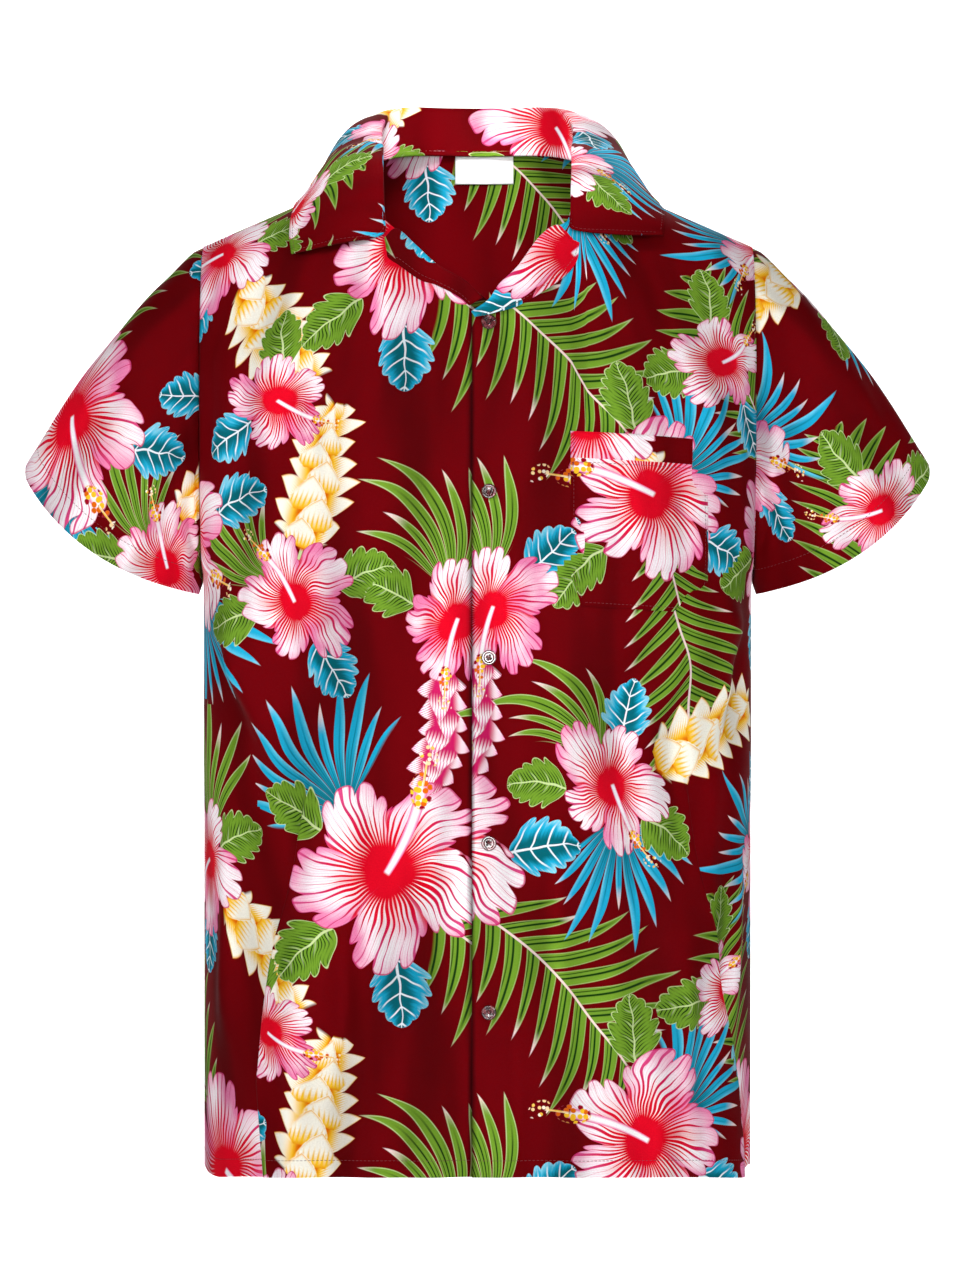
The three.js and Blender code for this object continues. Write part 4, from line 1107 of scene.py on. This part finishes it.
def growPosies():
    # all motifs of one repeat: for each kind of motif rows of x, y, turn, size, narrowing and code
    rows = {name: [] for name in motifs}
    for posy in posies:
        x, y = (v / 1000 for v in posy["flower"])
        turn = math.radians(posy["turn"])
        rows["hibiscus"].append((x, y, turn, posy["size"] / 1000, posy["narrow"], posy["seed"] / 100))
        for motif in motifs:
            for direction, start, length, kind, luck in posy.get(motif, ()):
                angle = math.radians(direction)
                out = start / 1000 + length / 1000 / 2
                rows[motif].append((x + out * math.cos(angle), y + out * math.sin(angle), angle - math.pi / 2,
                                    length / 1000, 1.0, kind + luck / 100))
    return {name: np.array(found) for name, found in rows.items()}


def intoMotif(x, y, row):
    # a place on the cloth along a motif's own axes, divided by the motif's size
    x0, y0, angle, length, narrow, _ = row
    dx, dy = x - x0, y - y0
    return ((dx * np.cos(angle) + dy * np.sin(angle)) / length,
            (dy * np.cos(angle) - dx * np.sin(angle)) / (length * narrow))


def layPrint(mesh, corners, along, up, turn):
    # every face corner gets its place in the nearest motif of each kind
    c, s = math.cos(turn), math.sin(turn)
    spots = corners @ np.array([[c, s], [-s, c]]) + (along, up)
    middle = spots.mean(1)
    size = np.array((repeat["width"], repeat["height"]))
    low = np.floor((middle.min(0) - motifReach) / size).astype(int)
    high = np.ceil((middle.max(0) + motifReach) / size).astype(int)
    for name, rows in growPosies().items():
        copies = np.concatenate([rows + (i * size[0], j * size[1], 0, 0, 0, 0)
                                 for i in range(low[0], high[0] + 1) for j in range(low[1], high[1] + 1)])
        reach = motifs[name]["reach"]
        best = np.full(len(middle), 1.0)
        owner = np.full(len(middle), -1)
        for index, row in enumerate(copies):
            near = np.flatnonzero(np.abs(middle - row[:2]).max(1) < row[3] * max(reach))
            x, y = intoMotif(*middle[near].T, row)
            measure = np.hypot(x / reach[0], y / reach[1])
            closer = measure < best[near]
            best[near[closer]] = measure[closer]
            owner[near[closer]] = index
        rows = copies[owner].T[:, :, None]
        x, y = intoMotif(spots[:, :, 0], spots[:, :, 1], rows)
        place = np.stack([x, y, np.broadcast_to(rows[5], x.shape)], 2)
        place[owner < 0] = nowhere
        layer = mesh.attributes.new(name, "FLOAT_VECTOR", "CORNER")
        layer.data.foreach_set("vector", place.astype(np.float32).ravel())


def printColor(tree):
    # the ground's colour with each kind of motif laid over it in turn
    made = "ground"
    for name, motif in motifs.items():
        place = newNode(tree, "Attribute", {}, attribute_name=name)[1]
        group = bpy.data.node_groups.get(name) or motifGroup(name, motif["draw"])
        color, mask = newNode(tree, "Group", {"Place": place}, node_tree=group)
        made = blend(mask, made, color)
    return made


def newFinish(name):
    material = bpy.data.materials.new(name)
    material.use_nodes = True
    tree = material.node_tree
    return material, tree, tree.nodes["Principled BSDF"]


def setShader(shader, **values):
    for name, value in values.items():
        feed(shader.inputs[name.replace("_", " ")], value)


def clothPlace(tree):
    return newNode(tree, "UVMap", {}, uv_map="cloth")[0]


def objectPlace(tree):
    return next(out for out in newNode(tree, "TexCoord", {}) if out.socket.name == "Object")


def bumped(tree, height, distance, strength):
    return newNode(tree, "Bump", {"Strength": strength, "Distance": distance, "Height": height})[0]


def weaveHeight(place, pitch):
    # plain weave: threads sin(u) and sin(v) take turns on top, by the sign of their product
    x, y, _ = parts(place)
    across, up = (x * (math.pi / pitch)).sin(), (y * (math.pi / pitch)).sin()
    return across * up * 0.5 + (across.abs() + up.abs()) * 0.25


printed = {
    "thread": 0.00042, "roughness": 0.74, "bump": 0.00006,
    # the painted crease shade's scale across and along the cloth, then how dark it gets
    "shadeStreaks": (24.0, 4.5), "shadeStreakDepth": 0.42,
}


def printedCloth():
    # the print, worn in soft patches, with painted shadow where one front lies over the other and long
    # streaks of painted shade, standing for small creases, along the fall
    material, tree, shader = newFinish("printed cotton")
    place = clothPlace(tree)
    soft, broad = wander(place, 900.0, 2.0)[0], wander(place, 14.0, 2.0)[0]
    # painted shadow along the fronts' overlap, blending the print towards the fold ink
    pressed = newNode(tree, "Attribute", {}, attribute_name="painted_overlap_shadow")[2]
    color = blend(pressed, printColor(tree), "fold")
    worn = blend((soft - 0.5) * 0.35 + (broad - 0.5) * 0.25 + 0.06, color, "shade")
    # streaks of painted shade, standing for small creases that are not modelled: noise stretched along the
    # cloth that darkens the colour towards black
    across, along, _ = parts(place)
    wide, long = printed["shadeStreaks"]
    fall = wander(bundle(tree, across * wide, along * long), 1.0, 1.5)[0]
    setShader(shader, Base_Color=blend(rise(fall, 0.38, 0.7) * printed["shadeStreakDepth"], worn, (0, 0, 0)),
              Roughness=printed["roughness"] + (soft - 0.5) * 0.16,
              Specular_IOR_Level=0.03, Sheen_Weight=0.008, Sheen_Roughness=0.4,
              Normal=bumped(tree, weaveHeight(place, printed["thread"]) + soft * 0.8, printed["bump"], 0.55))
    return material


def threadFinish():
    material, tree, shader = newFinish("sewing thread")
    fine = wander(objectPlace(tree), 2600.0, 1.0)[0]
    setShader(shader, Base_Color=blend(rise(fine, 0.35, 0.7), (104, 4, 18), (62, 0, 10)),
              Roughness=0.5 + fine * 0.2, Normal=bumped(tree, fine, 0.0001, 0.5))
    return material


def buttonFinish():
    # dark see-through resin with clouds of brown and wine red in it
    material, tree, shader = newFinish("dark resin button")
    place = objectPlace(tree)
    cloud, scratch = wander(place, 260.0, 3.0)[0], wander(place, 2200.0, 2.0)[0]
    setShader(shader, Base_Color=blend(rise(cloud, 0.38, 0.66), (52, 16, 22), (128, 52, 60)),
              Roughness=0.12 + scratch * 0.14, Normal=bumped(tree, scratch, 0.00003, 0.3),
              IOR=1.5, Transmission_Weight=0.25, Coat_Weight=0.5, Coat_Roughness=0.08)
    return material


def labelFinish():
    # bare white satin: fine floats along the strip
    material, tree, shader = newFinish("white woven label")
    place = clothPlace(tree)
    rib = (parts(place)[1] * (math.pi / 0.00045)).sin().abs()
    fine = wander(place, 1500.0, 2.0)[0]
    setShader(shader, Base_Color=blend(rise(rib + fine * 0.5, 0.1, 0.9), (246, 245, 242), (255, 255, 254)),
              Roughness=0.42 + fine * 0.2, Sheen_Weight=0.1,
              Normal=bumped(tree, rib + fine * 0.4, 0.00008, 0.5))
    return material


stitch = {"length": 2.3, "pitch": 3.1, "width": 0.42, "height": 0.34, "rings": 5, "sides": 6, "lift": 0.12}


def stitchShape():
    # a small arched grain of thread: five rings of six points, thin at both ends
    rings, sides = stitch["rings"], stitch["sides"]
    t, turn = np.meshgrid(np.linspace(-1, 1, rings), np.arange(sides) / sides * 2 * math.pi, indexing="ij")
    girth = np.sqrt(np.maximum(0.0, 1 - (0.92 * t) ** 2)) * 0.5
    points = np.stack([t * 0.5, np.cos(turn) * girth, np.sin(turn) * girth - t * t * 0.5], -1).reshape(-1, 3)
    quads = ringFaces(np.arange(rings * sides).reshape(rings, sides))
    ends = np.array([[0, 1, 2, 3], [0, 3, 4, 5]])
    return points, np.concatenate([quads, ends, ends[:, ::-1] + (rings - 1) * sides])


def stitchesAlong(paths):
    # the grain is set at even steps along each path of points and normals: length, width and height scaled
    shape, faces = stitchShape()
    local = (shape * (stitch["length"], stitch["width"], stitch["height"]))[None]
    made = []
    for points, normals, lift in paths:
        run = running(points, 0)
        at = np.arange(stitch["pitch"] * 0.6, run[-1] - stitch["pitch"] * 0.4, stitch["pitch"])

        def read(values, where):
            return np.stack([np.interp(where, run, values[:, k]) for k in range(3)], -1)

        centre, normal = read(points, at), unit(read(normals, at))
        ahead = unit(read(points, at + 0.8) - read(points, at - 0.8))
        aside = unit(np.cross(normal, ahead))
        grown = (centre[:, None] + normal[:, None] * lift + local[..., :1] * ahead[:, None]
                 + local[..., 1:2] * aside[:, None] + local[..., 2:] * normal[:, None])
        index = faces[None] + np.arange(len(at))[:, None, None] * len(shape)
        made.append({"points": grown.reshape(-1, 3), "faces": index.reshape(-1, 4),
                     "flat": np.zeros((index.size // 4, 4, 2))})
    return joinedShells(made)


def gridLine(points, rows, columns, sign, lift=stitch["lift"]):
    # a path read off a grid at the given row and column places, with the grid's normals and the thread's lift
    normals = gridNormals(points) * sign
    rows, columns = np.broadcast_arrays(np.asarray(rows, float), np.asarray(columns, float))
    r = np.clip(np.floor(rows).astype(int), 0, points.shape[0] - 2)
    c = np.clip(np.floor(columns).astype(int), 0, points.shape[1] - 2)
    a, b = (rows - r)[:, None], (columns - c)[:, None]

    def read(grid):
        return mix(mix(grid[r, c], grid[r, c + 1], b), mix(grid[r + 1, c], grid[r + 1, c + 1], b), a)
    return read(points), unit(read(normals)), lift


def rowAt(points, column, distance, fromEnd=False):
    # the row place a given distance along one column from its start, or from its end
    run = running(points[:, column], 0)
    return np.interp(run[-1] - distance if fromEnd else distance, run, np.arange(len(run)))


button = {
    "radius": 5.6, "thickness": 2.4, "heights": (633.0, 507.0, 384.0, 247.0, 122.0), "x": 8.5, "gap": 0.5,
    "holeOut": 1.55, "holeRadius": 0.72, "holeDepth": 1.5, "turns": (8.0, -5.0, 14.0, 3.0, -11.0),
    "rings": 40, "underRings": 12, "sides": 72, "holeSlope": 0.16, "thread": 0.2, "apart": 0.16,
}


def buttonFrame(z):
    x, z = np.array([button["x"]]), np.array([z])
    normal = surfaceNormal("front", x, z)[0]
    centre = surfacePoint("front", x, z)[0] + normal * (button["gap"] + button["thickness"] / 2)
    aside = unit(np.cross(np.array([0.0, 0.0, 1.0]), normal))
    return centre, normal, aside, np.cross(normal, aside)


def buttonShell(z, lean):
    # top height = dish + rim - four round pits; the profile comes back under to a flat base
    rings, sides = button["rings"], button["sides"]
    r = np.concatenate([np.linspace(0, 1, rings), np.linspace(1.0, 0.0, button["underRings"])])[:, None]
    turn = (np.arange(sides) / sides * 2 * math.pi)[None]
    radius, half = button["radius"], button["thickness"] / 2
    x, y = r * radius * np.cos(turn), r * radius * np.sin(turn)
    dish = 0.35 + 0.1 * smooth(0, 0.5, r)
    upper = half * (dish + 0.55 * smooth(0.56, 0.74, r) - 0.75 * smooth(0.84, 1.0, r) ** 2)
    pit = 0
    for quarter in range(4):
        angle = math.radians(45 + 90 * quarter + lean)
        apart = np.hypot(x - button["holeOut"] * math.cos(angle), y - button["holeOut"] * math.sin(angle))
        wall = button["holeRadius"] - apart
        pit = pit + button["holeDepth"] * smooth(-button["holeSlope"], button["holeSlope"], wall)
    lower = -half * (1.0 - 0.8 * smooth(0.86, 1.0, r))
    height = np.concatenate([(upper - pit)[:rings], lower[rings:] + x[rings:] * 0])
    centre, normal, aside, up = buttonFrame(z)
    points = centre + x[..., None] * aside + y[..., None] * up + height[..., None] * normal
    at = np.arange(r.size * sides).reshape(r.size, sides)
    at[0], at[-1] = at[0, 0], at[-1, 0]
    return {"points": points.reshape(-1, 3), "faces": ringFaces(at)}


def threadTube(path, radius, sides=8):
    # circles of the given radius carried along a path, drawn in to a point at both ends
    ahead = unit(np.gradient(path, axis=0))
    aside = unit(np.cross(ahead, (0.12, 0.31, 0.94)))
    up = np.cross(ahead, aside)
    turn = np.arange(sides) / sides * 2 * math.pi
    t = np.linspace(0, 1, len(path))
    girth = radius * np.minimum(1, np.sqrt(np.minimum(t, 1 - t) * 14))[:, None, None]
    ring = np.cos(turn)[None, :, None] * aside[:, None] + np.sin(turn)[None, :, None] * up[:, None]
    points = path[:, None] + ring * np.maximum(girth, 0.01)
    at = np.arange(len(path) * sides).reshape(len(path), sides)
    quads = np.roll(ringFaces(at)[:, ::-1], 1, 1)
    ends = np.array([[k, k + 1, k + 2, 0] for k in range(1, sides - 2, 2)])
    faces = np.concatenate([quads, ends[:, ::-1], ends + at[-1, 0]])
    return {"points": points.reshape(-1, 3), "faces": faces, "flat": np.zeros((len(faces), 4, 2))}


def buttonThreads(z, lean):
    # two strands cross between opposite holes, each a low arch; the second pair lies over the first
    centre, normal, aside, up = buttonFrame(z)
    t = np.linspace(-1, 1, 15)[:, None]
    made = []
    for over, start in enumerate((45, 135)):
        angle = math.radians(start + lean)
        out = np.array([math.cos(angle), math.sin(angle)])
        height = 0.62 + 0.42 * (1 - t**2) + 0.12 * over - 1.1 * np.maximum(0, np.abs(t) - 0.86) / 0.14
        for offset in (-button["apart"], button["apart"]):
            flat = out * t * button["holeOut"] + np.array([-out[1], out[0]]) * offset
            path = centre + flat[:, :1] * aside + flat[:, 1:] * up + height * normal
            made.append(threadTube(path, button["thread"]))
    return joinedShells(made)


def welded(piece, distance=0.000002):
    # poles are made as rings of equal points, merged here into one
    grown = bmesh.new()
    grown.from_mesh(piece.data)
    bmesh.ops.remove_doubles(grown, verts=grown.verts, dist=distance)
    grown.to_mesh(piece.data)
    grown.free()
    piece.data.shade_smooth()


print("stage: finishes")
clothFinish = printedCloth()
threads = threadFinish()

# where each piece was cut from the printed cloth: metres along and up it, and how far it was turned
cuts = {
    "front_left": (0.335, 0.10, 0.0), "front_right": (0.361, 0.109, 0.0), "back": (0.345, 0.425, 0.0),
    "sleeve_left": (0.46, 0.22, 0.0), "sleeve_right": (0.05, 0.05, 0.0), "collar": (0.22, 0.36, 0.12),
    "lapel_left": (0.13, 0.41, 0.2), "lapel_right": (0.41, 0.02, 0.2), "pocket": (0.335, 0.10, 0.0),
}
sheets = []


def addCloth(node, made):
    points, flat, mesh = made
    piece = makePiece(f"{node}_cloth", mesh, clothFinish, cuts[node])
    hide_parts(node)
    sheets.append((piece, *flatSize(flat)))
    print("made", piece.name, len(piece.data.polygons), "faces")
    return points


def paintOverlapShadow(name, start, end):
    # paints shadow onto the print where cloth lies over cloth, growing from start to end, in mm across the
    # shirt
    mesh = bpy.data.objects[name].data
    spots = np.empty(len(mesh.vertices) * 3)
    mesh.vertices.foreach_get("co", spots)
    shade = mesh.attributes.new("painted_overlap_shadow", "FLOAT", "POINT")
    shade.data.foreach_set("value", (0.8 * smooth(start, end, spots[::3] * 1000)).astype(np.float32))


def addStitches(name, paths):
    makePiece(name, stitchesAlong(paths), threads)


def columnsOf(points, margin=1.0):
    return np.arange(margin, points.shape[1] - margin)


print("stage: body")
leftMade, rightMade = frontCloth("left"), frontCloth("right")
left, right, back = (addCloth(node, made) for node, made in (
    ("front_left", leftMade), ("front_right", rightMade), ("back", backCloth())))
# painted shadow along the placket: on the left front's edge and on the right front beneath it
edgeAt = openings["left"][0][0]
paintOverlapShadow("front_left_cloth", edgeAt + 1.6, edgeAt)
paintOverlapShadow("front_right_cloth", edgeAt - 4.0, edgeAt - 0.5)
addStitches("hem_stitches", [gridLine(points, rowAt(points, 5, cloth["hem"]), columnsOf(points), sign)
                             for points, sign in ((left, 1), (right, -1), (back, -1))])

print("stage: sleeves")
sleevePaths = []
for side, node in ((1, "sleeve_left"), (-1, "sleeve_right")):
    points = addCloth(node, sleeveCloth(side))
    columns = columnsOf(points, 2.0)
    rows = [rowAt(points, int(column), sleeve["hem"], True) for column in columns]
    sleevePaths.append(gridLine(points, rows, columns, side))
addStitches("sleeve_stitches", sleevePaths)

print("stage: collar and lapels")
points = addCloth("collar", collarCloth())
lift = collar["thickness"] / 2 + 0.1
low = np.array([rowAt(points, int(column), collar["stitchInset"], True) for column in columnsOf(points)])
collarPaths = [gridLine(points, low, columnsOf(points), 1, lift)]
for column in (1.1, points.shape[1] - 2.1):
    collarPaths.append(gridLine(points, np.arange(collar["levelRow"], low[0]), column, 1, lift))
addStitches("collar_stitches", collarPaths)

lapelPaths = []
for name in ("left", "right"):
    points = addCloth(f"lapel_{name}", lapelCloth(name))
    row = rowAt(points, 30, lapels["stitchInset"], True)
    lapelPaths.append(gridLine(points, row, columnsOf(points), outwardSign(points)))
addStitches("lapel_stitches", lapelPaths)

print("stage: pocket and label")
points = addCloth("pocket", pocketCloth(leftMade[:2]))
pocketPaths = [gridLine(points, np.arange(0.5, 57.5), column, -1) for column in pocket["stitchColumns"]]
pocketPaths += [gridLine(points, row, np.arange(1.5, 44.0), -1) for row in pocket["stitchRows"]]
addStitches("pocket_stitches", pocketPaths)

points, flat, made = labelCloth()
labelPiece = makePiece("label_cloth", made, labelFinish())
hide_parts("label")
sheets.append((labelPiece, *flatSize(flat)))
addStitches("label_stitches", [gridLine(points, np.arange(0.5, 24.5), column, -1, label["stitchLift"])
                               for column in label["stitchColumns"]])

print("stage: buttons")
resin = buttonFinish()
buttonsAt = list(zip(button["heights"], button["turns"]))
for index, (z, lean) in enumerate(buttonsAt):
    piece = makePiece(f"button_{index + 1}_resin", buttonShell(z, lean), resin)
    welded(piece)
    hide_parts(f"button_{index + 1}")
knots = joinedShells([buttonThreads(z, lean) for z, lean in buttonsAt])
makePiece("button_threads", knots, threads)

print("stage: sheets")
fronts = ["front_left_cloth", "front_right_cloth"]
holds = {
    # how each sheet is held, what it rests on and the stitches that go with it
    "front_left_cloth": ("hung", ["back_cloth"], "hem_stitches"),
    "front_right_cloth": ("hung", ["back_cloth"], "hem_stitches"),
    "back_cloth": ("hung", fronts, "hem_stitches"),
    "sleeve_left_cloth": ("hung", ["front_left_cloth", "back_cloth"], "sleeve_stitches"),
    "sleeve_right_cloth": ("hung", ["front_right_cloth", "back_cloth"], "sleeve_stitches"),
    "collar_cloth": ("folded", [*fronts, "back_cloth"], "collar_stitches"),
    "lapel_left_cloth": ("folded", ["front_left_cloth"], "lapel_stitches"),
    "lapel_right_cloth": ("folded", ["front_right_cloth"], "lapel_stitches"),
    "pocket_cloth": ("laid", ["front_left_cloth"], "pocket_stitches"),
    "label_cloth": ("laid", ["back_cloth"], "label_stitches"),
}
for piece, size, area in sheets:
    held, rests, row = holds[piece.name]
    print("sheet", piece.name, [round(v, 3) for v in size], round(area, 4))

print("stage: studio")
studio = {
    "floor": -1.75, "turnRadius": 1.2, "wallAt": 2.6, "halfWidth": 6.0, "near": -6.0, "top": 5.0,
    "camera": (0.00194, -3.0, -0.373), "lens": 108.73, "surround": (0.8, 0.06), "floorGlow": 0.5,
}
lamps = {
    # place, what it points at, size, power in watts and spread
    "key": ((-2.6, -2.5, 0.7), (0.2, 0.0, -0.44), (0.6, 0.8), 2.0, 0.5),
    "fill": ((2.2, -2.9, 0.7), (0.05, 0.0, -0.3), (1.2, 1.8), 42.0, math.pi),
    "front": ((0.0, -4.4, -0.3), (0.0, 0.0, -0.46), (1.2, 1.0), 2.6, 0.42),
    "neck": ((0.05, -1.5, 0.9), (0.0, 0.05, 0.0), (0.2, 0.2), 0.26, 0.2),
    "floor": ((0.0, -4.0, -0.9), (0.0, -4.0, -1.75), (12.0, 9.0), 140.0, math.pi),
    "behind": ((0.4, 2.2, 1.6), (0.0, 0.0, -0.3), (2.2, 1.4), 40.0, math.pi),
    "backdrop": ((0.0, 1.2, 0.6), (0.0, 4.0, -0.6), (3.4, 1.6), 150.0, math.pi),
}


def seenByCamera(tree):
    return newNode(tree, "LightPath", {})[0]


def studioSweep():
    # a floor that turns up into a wall through a quarter circle, well behind and below the shirt
    turn = np.linspace(0, math.pi / 2, 16)
    radius = studio["turnRadius"]
    wall = studio["wallAt"]
    y = np.concatenate([[studio["near"]], wall + radius * np.sin(turn), [wall + radius]])
    z = np.concatenate([[0.0], radius * (1 - np.cos(turn)), [studio["top"]]]) + studio["floor"]
    x = np.linspace(-studio["halfWidth"], studio["halfWidth"], 13)
    points = np.stack(np.broadcast_arrays(x[None], y[:, None], z[:, None]), -1)
    faces = gridFaces(np.arange(points.size // 3).reshape(points.shape[:2]))
    material, tree, shader = newFinish("pale floor")
    place = objectPlace(tree)
    grain = wander(place, 3.0, 2.0)[0]
    # the level floor before the wall has a glow that only the camera sees
    level = rise(parts(place)[1], 2.4, 0.8)
    setShader(shader, Base_Color=blend(grain, (246, 246, 247), (250, 250, 250)), Roughness=0.9,
              Emission_Strength=seenByCamera(tree) * level * studio["floorGlow"])
    newObject("studio_sweep", newMesh("studio_sweep", points.reshape(-1, 3), faces, material))


def softLight(name, place, aim, size, power, spread):
    data = bpy.data.lights.new(name, "AREA")
    data.shape = "RECTANGLE"
    data.size, data.size_y = size
    data.energy = power
    data.spread = spread
    lamp = newObject(name, data)
    lamp.location = place
    lamp.visible_camera = False
    lamp.rotation_euler = (Vector(aim) - Vector(place)).to_track_quat("-Z", "Y").to_euler()


studioSweep()
for name, lamp in lamps.items():
    softLight(name, *lamp)

world = bpy.data.worlds.new("studio")
world.use_nodes = True
background = world.node_tree.nodes["Background"]
background.inputs["Color"].default_value = (1.0, 1.0, 1.0, 1.0)
# strength = 0.8 where the camera sees it + 0.06 everywhere
feed(background.inputs["Strength"], seenByCamera(world.node_tree).sum("MULTIPLY_ADD", *studio["surround"]))
bpy.context.scene.world = world
bpy.context.scene.view_settings.view_transform = "Standard"

lens = bpy.data.cameras.new("camera")
lens.sensor_fit = "AUTO"
lens.sensor_width = 36.0
lens.lens = studio["lens"]
lens.clip_end = 50.0
camera = newObject("camera", lens)
camera.location = studio["camera"]
camera.rotation_euler = (math.pi / 2, 0.0, 0.0)
bpy.context.scene.camera = camera
